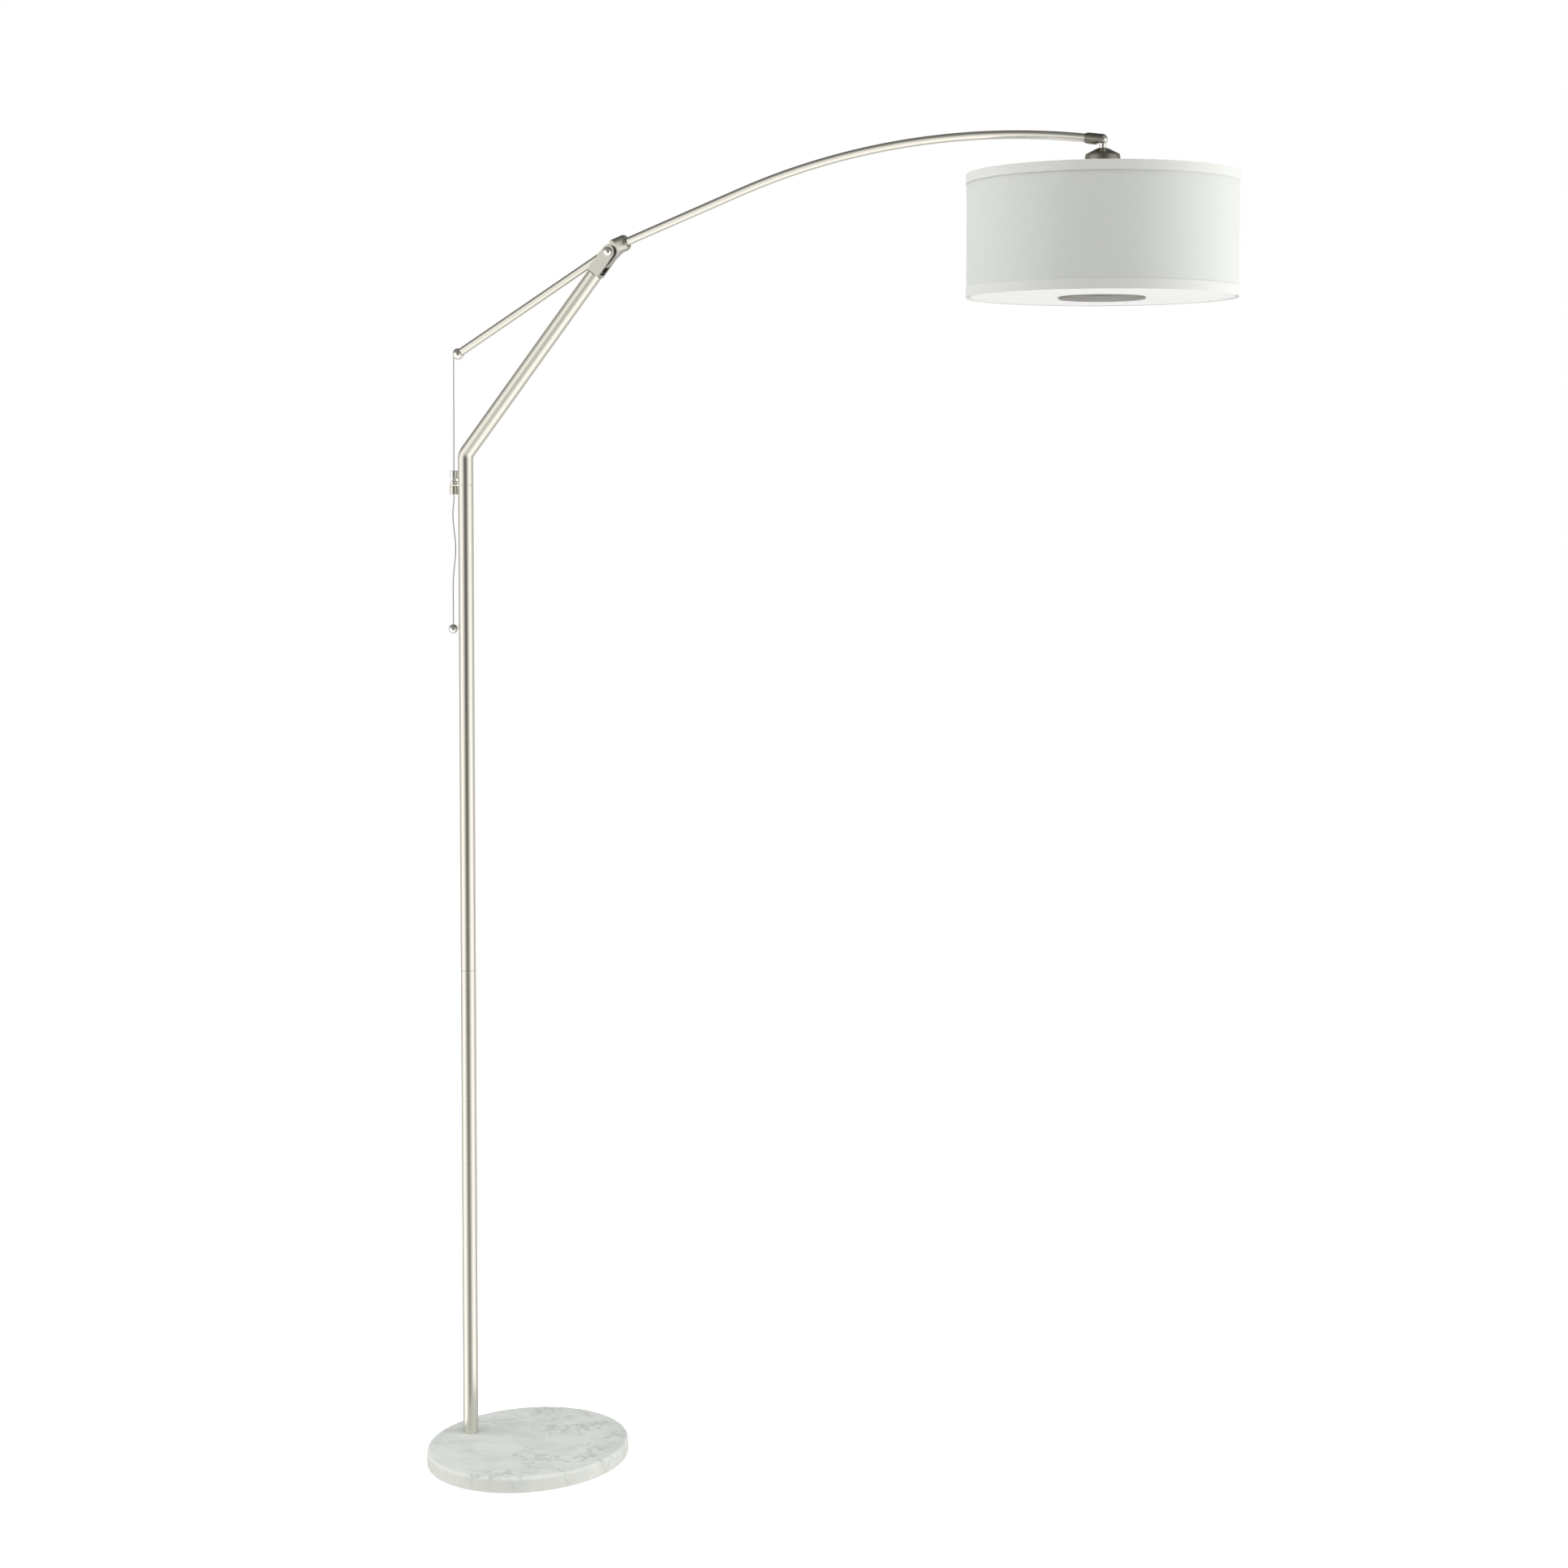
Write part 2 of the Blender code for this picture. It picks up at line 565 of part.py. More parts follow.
def make_rear_ball(parent):
    """Polished ball with a spigot into the rear tube; the cable hooks into its back."""
    place = dict(at=REAR_BALL, parent=parent)
    ball = add_object("rear_ball", ball_mesh("rear_ball", REAR_BALL_R), "polished_nickel", **place)
    turn = pitch(-REAR_DIR)
    seat_low = REAR_BALL_R - 0.0018
    seat = cylinder_mesh("ball_seat", ARM_R + GAP, seat_low, seat_low + 0.02, 24)
    boolean(ball, "ball_seat", seat, "DIFFERENCE", REAR_BALL, turn)
    spigot_r = (ARM_R - ARM_WALL - GAP) * SPIGOT_EASE
    spigot = cylinder_mesh("ball_spigot", spigot_r, 0.002, 0.020, 16)
    boolean(ball, "ball_spigot", spigot, "UNION", REAR_BALL, turn)
    smooth(ball, 40)


def make_end_socket(parent):
    """Sleeve on the arc tube's tip, with a cup for the swivel ball and a slot for its neck."""
    turn = pitch(TIP_DIR)
    outer = 0.0083
    end = SWIVEL_RUN + 0.0015
    bore = ARM_R + GAP
    lip = bore + 0.0008
    shoulder = 0.004
    outside = [(0, end), (outer, end), (outer, shoulder), (lip, 0), (bore, 0)]
    profile = outside + [(bore, SOCKET_DEPTH), (0, SOCKET_DEPTH)]
    socket = turned("end_socket", profile, "dark_nickel", 32, at=ARC_TIP, turn=turn, parent=parent)
    cup = ball_mesh("ball_cup", SWIVEL_R + GAP, 16, 10)
    boolean(socket, "ball_cup", cup, "DIFFERENCE", SWIVEL)
    slot_half = NECK_R + 0.0009
    slot = box_mesh("neck_slot", (0, -slot_half, -0.009), (0.02, slot_half, 0.02))
    boolean(socket, "neck_slot", slot, "DIFFERENCE", SWIVEL, turn)
    wire = cylinder_mesh("wire_way", SCREW_HOLE_R, -CUT_PAST, SWIVEL_RUN, 16)
    boolean(socket, "wire_way", wire, "DIFFERENCE", ARC_TIP, turn)


# Cable and clutch -----------------------------------------------------------------------------

CLUTCH_NECK_TOP = 1.5900          # heights in the clutch: neck, nut, plunger's head and stem
CLUTCH_STEP_Z = 1.5785
CLUTCH_NUT_TOP = 1.5922
PLUNGER_HEAD_LOW = 1.5961
PLUNGER_STEM_LOW = 1.5830
CLUTCH_CHAMFER = 0.0004


def make_clutch():
    """Cable clutch on the bracket: body under the plate, nut over it, and a sprung plunger."""
    place = dict(at=(CABLE_X, 0, 0))
    c = CLUTCH_CHAMFER
    top = BRACKET_Z - BRACKET_THICK / 2 - GAP
    low = CLUTCH_LOW_Z
    r = CLUTCH_R + c / 2
    way = 0.0018
    guide = 0.0025
    body = [(CLUTCH_NECK_R, CLUTCH_NECK_TOP), (CLUTCH_NECK_R, top), (r - c, top), (r, top - c)]
    body += [(r, low + c), (r - c, low), (way, low), (way, CLUTCH_STEP_Z)]
    body += [(guide, CLUTCH_STEP_Z), (guide, CLUTCH_NECK_TOP)]
    turned("clutch_body", body, "brushed_nickel", 24, hollow=True, **place)
    low = BRACKET_Z + BRACKET_THICK / 2 + GAP
    high = CLUTCH_NUT_TOP
    r = 0.0059
    bore = CLUTCH_NECK_R + c
    c = 0.0010
    nut = [(r - 0.9 * c, high), (r, high - c), (r, low + c), (r - 0.9 * c, low), (bore, low), (bore, high)]
    turned("clutch_nut", nut, "polished_nickel", 24, hollow=True, **place)
    rig = add_empty("plunger_axis", (CABLE_X, 0, 0))
    turned("clutch_plunger", plunger_profile(), "polished_nickel", 24, hollow=True, parent=rig, **place)
    make_spring()


def plunger_profile():
    """Round head on a hollow stem, with the cable's way through it."""
    c = CLUTCH_CHAMFER
    r = 0.0064
    stem_r = 0.0020
    way = 0.0012
    head = [(r - c, PLUNGER_TOP_Z), (r, PLUNGER_TOP_Z - c)]
    head += [(r, PLUNGER_HEAD_LOW + c), (r - c, PLUNGER_HEAD_LOW)]
    stem = [(stem_r, PLUNGER_HEAD_LOW), (stem_r, PLUNGER_STEM_LOW), (way, PLUNGER_STEM_LOW)]
    return head + stem + [(way, PLUNGER_TOP_Z)]


def make_spring():
    """Small coil between the clutch's neck and the plunger's head."""
    turns = 3
    per_turn = 10
    wire_r = 0.00045
    coil_r = 0.0030
    play = 0.0002
    low = CLUTCH_NECK_TOP + wire_r + play
    high = PLUNGER_HEAD_LOW - wire_r - play
    coil = []
    for i in range(turns * per_turn + 1):
        angle = 2 * math.pi * i / per_turn
        height = low + (high - low) * i / (turns * per_turn)
        coil.append((CABLE_X + coil_r * math.cos(angle), coil_r * math.sin(angle), height))
    swept("clutch_spring", coil, wire_r, "steel", sides=1)


def tail_route():
    """The cable's free end: straight through the clutch, a slow wave, then straight to the ball."""
    steps = 30
    full_by = 0.2
    points = [Vector((CABLE_X, 0, PLUNGER_TOP_Z - 0.0037)), Vector((CABLE_X, 0, CLUTCH_LOW_Z))]
    for i in range(1, steps + 1):
        u = i / steps
        sway = TAIL_SWAY * min(1.0, u / full_by) * math.sin(2 * math.pi * TAIL_WAVES * u)
        points.append(Vector((CABLE_X - sway, 0, CLUTCH_LOW_Z - TAIL_WAVE_DROP * u)))
    points.append(Vector((CABLE_X - TAIL_SWAY, 0, PULL_BALL_Z + PULL_BALL_R + 0.0004)))
    return points


def make_cable():
    """Steel cable: one run from the rear ball to the clutch, and the free end with its pull ball."""
    link = add_empty("cable_hinge", REAR_BALL)
    hook_run = 0.0084
    drop = math.sqrt(REAR_BALL_R ** 2 - hook_run ** 2)
    top = Vector((REAR_BALL.x - hook_run, 0, REAR_BALL.z - drop - CABLE_R - 0.0001))
    bottom = Vector((CABLE_X, 0, PLUNGER_TOP_Z - 0.0032))
    run = [top.lerp(bottom, i / 6) - REAR_BALL for i in range(7)]
    swept("cable_upper", run, CABLE_R, "steel_cable", sides=1, at=REAR_BALL, parent=link)
    guide = add_empty("cable_slide", (CABLE_X, 0, PULL_BALL_Z))
    tail = [p - guide.location for p in tail_route()]
    swept("cable_tail", tail, CABLE_R, "steel_cable", sides=1, at=guide.location, parent=guide)
    place = dict(at=(CABLE_X - TAIL_SWAY, 0, PULL_BALL_Z), parent=guide)
    ball = add_object("pull_ball", ball_mesh("pull_ball", PULL_BALL_R), "polished_nickel", **place)
    smooth(ball)


# Shade ----------------------------------------------------------------------------------------

NECK_R = 0.0052
SPIGOT_R = 0.0045
CAP_SLEEVE_R = 0.0115
CAP_TOP = 2.0775                  # heights in the cap: top, shoulder, rim, end of its sleeve
CAP_SHOULDER = 2.0690
CAP_RIM = 2.0505
CAP_FOOT = 2.0285
CAP_WALL = 0.0012
SPIDER_Z = 2.0318                 # the shade's top ring and its spokes
HOLDER_Z = 2.013                  # where the axes of the two lamp holders meet
HOLDER_FLAT = 0.0205              # from there to each holder's seat
RING_WIRE = 0.0015
RING_R = SHADE_R - 0.0008 - GAP - CLOTH_THICK - GAP - RING_WIRE


def make_swivel(parent):
    """Ball with a neck that hangs in the end socket, and the nut that keeps the cap on it."""
    low = 2.052 - SWIVEL.z
    seat = CAP_TOP + GAP - SWIVEL.z
    angles = [math.pi * i / 12 for i in range(13)]
    neck_z = -math.sqrt(SWIVEL_R ** 2 - NECK_R ** 2)
    ball = [(SWIVEL_R * math.sin(a), SWIVEL_R * math.cos(a)) for a in angles]
    ball = [(r, z) for r, z in ball if z > neck_z + GAP]
    neck = [(NECK_R, neck_z), (NECK_R, seat), (SPIGOT_R, seat), (SPIGOT_R, low), (0, low)]
    turned("swivel_ball", ball + neck, "polished_nickel", 20, at=SWIVEL, parent=parent)
    place = dict(at=(SWIVEL.x, 0, 0), parent=parent)
    nut_top = CAP_SHOULDER - 0.0035
    sleeve("neck_nut", 0.0085, SPIGOT_R + GAP, nut_top - 0.006, nut_top, "steel", 20, **place)


def make_cap(parent):
    """Domed cap over the shade, with the sleeve that the spider and the cluster hang from."""
    place = dict(at=(SWIVEL.x, 0, 0), parent=parent)
    bore = SPIGOT_R + GAP
    sleeve_bore = 0.0093
    rim_r = 0.0262
    side_r = rim_r - 0.0002
    side_z = CAP_SHOULDER - 0.0050
    under = CAP_SHOULDER - 0.003
    outside = [(bore, CAP_TOP), (0.0070, CAP_TOP), (0.0100, CAP_TOP - 0.0009)]
    outside += [(0.0235, CAP_SHOULDER + 0.0006), (0.0252, CAP_SHOULDER - 0.0010)]
    outside += [(side_r, side_z), (rim_r, CAP_RIM)]
    inside = [(rim_r - CAP_WALL, CAP_RIM), (side_r - CAP_WALL, side_z), (0.0230, CAP_SHOULDER - 0.0018)]
    inside += [(CAP_SLEEVE_R, CAP_SHOULDER - 0.001), (CAP_SLEEVE_R, CAP_FOOT), (sleeve_bore, CAP_FOOT)]
    inside += [(sleeve_bore, under), (bore, under)]
    turned("dome_cap", outside + inside, "dark_nickel", 28, hollow=True, **place)
    sleeve("spider_nut", 0.0165, CAP_SLEEVE_R + GAP, 2.0330, 2.0380, "steel", 24, **place)
    make_cluster(place)


def make_cluster(place):
    """Turned block with two flats that the lamp holders stand on."""
    top = CAP_FOOT - 0.0005
    low = 1.9975
    r = 0.0225
    chamfer = 0.0025
    rod_way = 0.0034
    ledge = 2.0240
    body = [(r - chamfer, top), (r, top - chamfer), (r, low + chamfer), (r - chamfer, low)]
    body += [(rod_way, low), (rod_way, ledge), (0.0060, ledge), (0.0060, top)]
    cluster = turned("cluster_body", body, "white_enamel", 28, hollow=True, **place)
    for side in (-1, 1):
        flat = box_mesh(f"holder_flat_{side}", (-0.03, -0.02, HOLDER_FLAT), (0.03, 0.02, 0.06))
        at = (SWIVEL.x, 0, HOLDER_Z)
        boolean(cluster, f"holder_flat_{side}", flat, "DIFFERENCE", at, holder_turn(side))


def make_spider(parent):
    """Washer with three spokes that carry the shade's top ring."""
    place = dict(at=(SWIVEL.x, 0, 0), parent=parent)
    seat = CAP_SLEEVE_R + GAP
    half = 0.0009
    washer_r = 0.0185
    low = SPIDER_Z - half
    spider = sleeve("shade_spider", washer_r, seat, low, SPIDER_Z + half, "white_enamel", 36, **place)
    for i in range(3):
        angle = math.pi / 2 + 2 * math.pi * i / 3
        spoke = cylinder_mesh(f"spoke_{i}", 0.0016, washer_r - 0.002, RING_R - RING_WIRE - GAP, 10)
        at = (SWIVEL.x, 0, SPIDER_Z)
        boolean(spider, f"spoke_{i}", spoke, "UNION", at, (0, math.pi / 2, angle))


def wire_ring(name, height, parent):
    section = arc_points((RING_R, height), RING_WIRE, 0, -2 * math.pi, 6)[:-1]
    place = dict(at=(SWIVEL.x, 0, 0), parent=parent)
    return turned(name, section, "white_enamel", 48, hollow=True, **place)


def make_shade(parent):
    """Cloth drum on two wire rings, with a trim tape round each rim."""
    place = dict(at=(SWIVEL.x, 0, 0), parent=parent)
    wire_ring("rim_ring_top", SPIDER_Z, parent)
    wire_ring("rim_ring_bottom", SHADE_LOW_Z + 0.0085, parent)
    tape = 0.0008
    cloth_outer = SHADE_R - tape - GAP
    edge = 0.0005
    low = SHADE_LOW_Z + edge
    high = SHADE_TOP_Z - edge
    sleeve("shade_drum", cloth_outer, cloth_outer - CLOTH_THICK, low, high, "linen", 48, **place)
    low = SHADE_LOW_Z
    sleeve("shade_trim_bottom", SHADE_R, SHADE_R - tape, low, low + TRIM_HEIGHT, "trim_tape", 48, **place)
    low = SHADE_TOP_Z - TRIM_HEIGHT
    sleeve("shade_trim_top", SHADE_R, SHADE_R - tape, low, SHADE_TOP_Z, "trim_tape", 48, **place)


def holder_turn(side):
    """Turn that points +Z along a lamp holder, out and a little down."""
    return (0, side * (math.pi / 2 + LAMP_DROOP), 0)


def make_lamps(parent):
    """Two lamp holders on the cluster, each with a bulb."""
    for side, hand in ((-1, "left"), (1, "right")):
        place = dict(at=(SWIVEL.x, 0, HOLDER_Z), turn=holder_turn(side), parent=parent)
        turned(f"lamp_holder_{hand}", holder_profile(), "phenolic", 24, **place)
        turned(f"bulb_{hand}", bulb_profile(), "bulb_glass", 20, **place)


def holder_profile():
    """Cup with a lip, from its floor inside round to the middle of its seat."""
    seat = HOLDER_FLAT + GAP
    floor = 0.0300
    mouth = 0.0640
    bore = 0.0140
    side_r = 0.0165
    lip_r = 0.0192
    cup = [(0, floor), (bore, floor), (bore, mouth), (lip_r, mouth), (lip_r, mouth - 0.004)]
    return cup + [(side_r, mouth - 0.006), (side_r, 0.0230), (0.0150, seat), (0, seat)]


def bulb_profile():
    """Thin glass in the holder's cup: outside from the tip to the cap, then inside back to the tip."""
    wall = 0.001
    cap_z = 0.0335
    belly_z = 0.112
    belly_r = 0.0295
    tip_z = 0.146
    crown = arc_points((0, 0), 1, math.pi / 2, 0, 6)[1:]
    outside = [(belly_r * x, belly_z + (tip_z - belly_z) * y) for x, y in crown]
    outside += [(0.0270, 0.0980), (0.0215, 0.0850), (0.0150, 0.0700), (0.0132, 0.0645), (0.0130, 0.0370)]
    inside = [(r - wall, z - wall if z > belly_z else z) for r, z in outside]
    foot = [(0.0060, cap_z), (0.0050, cap_z)]
    return [(0, tip_z)] + outside + foot + inside[::-1] + [(0, tip_z - wall)]


def make_diffuser(parent):
    """Frosted disc under the lamps, held up by a centre rod and a metal disc."""
    place = dict(at=(SWIVEL.x, 0, 0), parent=parent)
    low = SHADE_LOW_Z + 0.0008
    high = low + 0.0025
    rod = 0.0030
    rod_top = 2.020
    rod_low = SHADE_LOW_Z - 0.0015
    outer = RING_R - RING_WIRE - 0.0012
    sleeve("diffuser", outer, rod + 0.0012, low, high, "opal", 48, **place)
    rod_profile = [(0, rod_top), (rod, rod_top), (rod, rod_low), (0, rod_low)]
    turned("centre_rod", rod_profile, "steel", 16, **place)
    hex_nut("diffuser_nut", 0.0080, rod + GAP, high + GAP, high + 0.0045, **place)
    top = low - GAP
    bore = rod + GAP
    floor = rod_low - 0.0005
    disc = [(0, floor), (bore, floor), (bore, top), (DISC_R - 0.001, top), (DISC_R, top - 0.0008)]
    disc += [(DISC_R, top - 0.0016), (DISC_R - 0.0012, top - 0.0026), (0.030, top - 0.0040)]
    disc.append((0, top - 0.0044))
    turned("finial_disc", disc, "brushed_nickel", 36, **place)


def make_lamp():
    make_foot()
    make_pole()
    make_fork()
    make_pivot()
    arm = add_empty("arm_pivot", PIVOT)
    make_knuckle(arm)
    make_arm(arm)
    make_clutch()
    make_cable()
    swivel = add_empty("swivel_centre", SWIVEL)
    make_swivel(swivel)
    make_cap(swivel)
    make_spider(swivel)
    make_shade(swivel)
    make_lamps(swivel)
    make_diffuser(swivel)


make_lamp()
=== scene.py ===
"""Arc floor lamp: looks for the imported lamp, laid out as an add-on and run as a script."""
import json
import math

import bpy
from mathutils import Matrix, Vector

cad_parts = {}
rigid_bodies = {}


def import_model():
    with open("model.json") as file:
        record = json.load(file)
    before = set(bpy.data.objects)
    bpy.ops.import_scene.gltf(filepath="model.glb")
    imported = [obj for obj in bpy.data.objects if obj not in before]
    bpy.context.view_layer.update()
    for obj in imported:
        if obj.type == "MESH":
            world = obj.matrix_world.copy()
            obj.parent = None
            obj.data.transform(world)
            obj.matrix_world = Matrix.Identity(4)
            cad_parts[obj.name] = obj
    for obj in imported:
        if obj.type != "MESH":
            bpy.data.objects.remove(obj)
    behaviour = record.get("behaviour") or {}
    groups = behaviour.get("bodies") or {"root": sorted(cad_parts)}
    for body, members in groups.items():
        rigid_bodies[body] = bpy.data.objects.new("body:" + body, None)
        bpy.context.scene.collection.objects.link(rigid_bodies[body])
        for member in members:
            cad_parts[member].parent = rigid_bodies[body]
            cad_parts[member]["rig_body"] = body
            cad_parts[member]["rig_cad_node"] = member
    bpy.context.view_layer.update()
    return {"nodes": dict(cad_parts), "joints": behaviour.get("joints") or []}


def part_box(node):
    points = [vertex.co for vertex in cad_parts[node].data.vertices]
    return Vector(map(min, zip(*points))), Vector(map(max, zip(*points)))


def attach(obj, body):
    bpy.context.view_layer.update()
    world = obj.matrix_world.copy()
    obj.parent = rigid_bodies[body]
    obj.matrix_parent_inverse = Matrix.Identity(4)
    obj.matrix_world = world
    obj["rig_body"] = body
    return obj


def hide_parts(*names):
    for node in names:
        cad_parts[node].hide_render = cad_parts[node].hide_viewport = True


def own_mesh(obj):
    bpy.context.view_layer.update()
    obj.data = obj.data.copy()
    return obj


bl_info = {
    "name": "Arc floor lamp",
    "version": (1, 0, 0),
    "blender": (4, 5, 0),
    "location": "3D View > Sidebar > Lamp",
    "description": "Models and finishes an arc floor lamp over its packed frame",
    "category": "Object",
}

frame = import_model()
JOINTS = {joint["name"]: Vector(joint["pos_m"]) for joint in frame["joints"] if joint.get("pos_m")}
PIVOT = JOINTS["arm_pivot"]
REAR_BALL = JOINTS["cable_swing"]
SWIVEL = JOINTS["shade_tilt"]


def low(node):
    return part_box(node)[0]


def high(node):
    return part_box(node)[1]


def middle(node):
    return (Vector(low(node)) + Vector(high(node))) / 2


def radius_of(node):
    """Outer radius of a node that is round about an upright axis."""
    return (high(node)[0] - low(node)[0]) / 2


UP = Vector((0, 0, 1))
FOOT_TOP = high("marble_base")[2]
POLE_X = middle("pole_lower").x
POLE_R = radius_of("pole_lower")
POLE_WALL = 0.0012
CABLE_X = middle("clutch_body").x
PULL_BALL = middle("pull_ball")
SHADE_AXIS = Vector((SWIVEL.x, 0, 0))

# The bent tube: its elbow, its end in the fork, and the arm's hub beyond that end
ELBOW_TILT = math.radians(50.15)
ELBOW_REACH = 0.006
TUBE_RUN = 0.3718
HUB_RUN = 0.4236
TUBE_LEAN = math.pi / 2 - ELBOW_TILT
ELBOW = Vector((POLE_X, 0, 1.6348))
TUBE_DIR = Vector((math.cos(ELBOW_TILT), 0, math.sin(ELBOW_TILT)))
HUB = ELBOW + TUBE_DIR * HUB_RUN

# The arm: a straight rise from the hub, then an arc that bends down to the end socket
ARM_R = 0.00635
ARM_WALL = 0.0011
ARM_RISE = math.radians(19.5)
ARM_LEVEL_RUN = 0.2193
ARC_R = 1.180
ARC_END = math.radians(8.0)
ARM_DIR = Vector((math.cos(ARM_RISE), 0, math.sin(ARM_RISE)))
REAR_DIR = (REAR_BALL - HUB).normalized()
ARC_START = HUB + ARM_DIR * (ARM_LEVEL_RUN / math.cos(ARM_RISE))
ARC_CENTRE = ARC_START + Vector((math.sin(ARM_RISE), 0, -math.cos(ARM_RISE))) * ARC_R


# Sizes and colours a user would change --------------------------------------------------------

def colour(name, text, value):
    return bpy.props.FloatVectorProperty(
        name=name, description=text, subtype="COLOR", size=3, min=0.0, max=1.0, default=value
    )


def length(name, text, value, top):
    return bpy.props.FloatProperty(
        name=name, description=text, default=value, min=0.0, max=top, unit="LENGTH", subtype="DISTANCE",
        precision=5,
    )


def power(name, text, value):
    return bpy.props.FloatProperty(
        name=name, description=text, default=value, min=0.0, max=2000.0, unit="POWER"
    )


class LampFinishes(bpy.types.PropertyGroup):
    """Colours of the lamp's finishes"""

    nickel: colour("Nickel", "Brushed nickel of the pole and arm", (0.755, 0.728, 0.668))
    polish: colour("Polished nickel", "Balls, bolt head, nuts, bracket and plunger", (0.86, 0.845, 0.81))
    dark_nickel: colour("Dark nickel", "The arm's end socket and the cap over the shade", (0.28, 0.26, 0.225))
    disc: colour("Disc", "The round disc under the diffuser", (0.345, 0.325, 0.29))
    stone: colour("Stone", "Ground colour of the marble", (0.86, 0.885, 0.845))
    vein: colour("Vein", "Colour of the marble's veins", (0.52, 0.555, 0.53))
    linen: colour("Linen", "Cloth of the shade", (0.725, 0.742, 0.707))
    trim: colour("Trim", "Tape round the shade's rims", (0.765, 0.778, 0.742))
    diffuser: colour("Diffuser", "Frosted disc under the lamps", (0.93, 0.935, 0.92))


class LampSizes(bpy.types.PropertyGroup):
    """Small sizes that the frame leaves open"""

    foot_round: length("Foot rounding", "Rounding of the foot's top edge", 0.0055, 0.02)
    cloth_thick: length("Cloth", "Thickness of the shade's cloth and lining", 0.0009, 0.002)
    cable_thick: length("Cable", "Diameter of the steel cable", 0.0016, 0.003)
    chamfer: length("Chamfer", "Broken edges of the clutch body", 0.0003, 0.002)


class LampStage(bpy.types.PropertyGroup):
    """Floor and light"""

    room_light: bpy.props.FloatProperty(
        name="Room light", description="Strength of the soft light all round", default=1.4, min=0.0, max=10.0
    )
    top_light: power("Top light", "Power of the wide light overhead", 104.0)
    left_light: power("Left light", "Power of the soft box on the left", 48.0)
    right_light: power("Right light", "Power of the soft box on the right", 68.0)
    floor: colour("Floor", "Pale floor", (0.97, 0.97, 0.97))


# Modelling steps -------------------------------------------------------------------------------

MERGE = 0.000002
FACET_MERGE = 0.00001
FACET_ANGLE = math.radians(1.0)
RIM_FIND = 0.00001
TUBE_EDGE = 0.00025
BALL_EDGE = 0.00012
SOCKET_DEPTH = 0.0012


def clear_selection():
    if bpy.context.object and bpy.context.object.mode != "OBJECT":
        bpy.ops.object.mode_set(mode="OBJECT")
    bpy.ops.object.select_all(action="DESELECT")


def pick(piece):
    """Select one piece alone, and make it the active one."""
    clear_selection()
    piece.select_set(True)
    bpy.context.view_layer.objects.active = piece


def edit(kind="VERT"):
    bpy.ops.object.mode_set(mode="EDIT")
    bpy.ops.mesh.select_mode(type=kind)
    bpy.ops.mesh.select_all(action="SELECT")


def weld():
    """In edit mode, merge the doubles and turn every face outwards."""
    bpy.ops.mesh.select_all(action="SELECT")
    bpy.ops.mesh.remove_doubles(threshold=MERGE)
    bpy.ops.mesh.normals_make_consistent(inside=False)


def leave(name):
    """Back to object mode, with the piece named."""
    bpy.ops.object.mode_set(mode="OBJECT")
    piece = bpy.context.object
    piece.name = name
    piece.data.name = name
    return piece


def settle(piece):
    """Put the object at the origin, unturned, with its place kept in its mesh."""
    pick(piece)
    bpy.ops.object.transform_apply(location=True, rotation=True, scale=True)
    return piece


def aim(piece, at, direction=UP):
    """Turn a piece modelled along +Z onto a direction and move it into place."""
    piece.rotation_mode = "QUATERNION"
    piece.rotation_quaternion = UP.rotation_difference(direction)
    piece.location = at
    return settle(piece)


def soften(piece, width, angle=35, smooth=40):
    """Break the edges sharper than angle, if there is a width, then shade smooth with even reflections."""
    pick(piece)
    if width:
        edge = piece.modifiers.new("edges", "BEVEL")
        edge.width = width
        edge.segments = 2
        edge.limit_method = "ANGLE"
        edge.angle_limit = math.radians(angle)
        edge.use_clamp_overlap = True
        bpy.ops.object.modifier_apply(modifier=edge.name)
    bpy.ops.object.shade_smooth_by_angle(angle=math.radians(smooth))
    even = piece.modifiers.new("even", "WEIGHTED_NORMAL")
    even.mode = "FACE_AREA"
    even.keep_sharp = True
    bpy.ops.object.modifier_apply(modifier=even.name)
    return piece


def finish(piece, node, body, key):
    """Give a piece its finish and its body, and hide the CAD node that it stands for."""
    piece.data.materials.clear()
    piece.data.materials.append(material(key))
    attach(piece, body)
    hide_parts(node)
    return piece


def keep(node, key):
    """A CAD node that stays as it is, with its finish."""
    mesh = frame["nodes"][node].data
    mesh.materials.clear()
    mesh.materials.append(material(key))


def stack(name, rings, segments, closed):
    """Turned shape along +Z: a circle extruded and scaled through (radius, height) rings.

    A closed one comes back to its first ring, and an open one begins with a filled circle.
    """
    clear_selection()
    radius, height = rings[0]
    bpy.ops.mesh.primitive_circle_add(
        vertices=segments, radius=radius, fill_type="NOTHING" if closed else "NGON", location=(0, 0, height)
    )
    edit()
    for r, z in list(rings[1:]) + ([rings[0]] if closed else []):
        bpy.ops.mesh.extrude_region_move(TRANSFORM_OT_translate={"value": (0, 0, z - height)})
        bpy.ops.transform.resize(value=(r / radius, r / radius, 1), center_override=(0, 0, z))
        radius, height = r, z
    weld()
    return settle(leave(name))


def turned(node, rings, at, body, key, direction=UP, segments=64, smooth=40, closed=True):
    """A finished turned piece in a node's place."""
    piece = aim(stack(node + "_piece", rings, segments, closed), at, direction)
    return finish(soften(piece, 0, smooth=smooth), node, body, key)


def bore(piece, rings):
    """Cut a turned hole on the pole's axis."""
    cutter = aim(stack("bore", rings, 48, False), (POLE_X, 0, 0))
    pick(piece)
    step = piece.modifiers.new("cut", "BOOLEAN")
    step.operation = "DIFFERENCE"
    step.solver = "EXACT"
    step.object = cutter
    bpy.ops.object.modifier_apply(modifier=step.name)
    bpy.data.objects.remove(cutter)


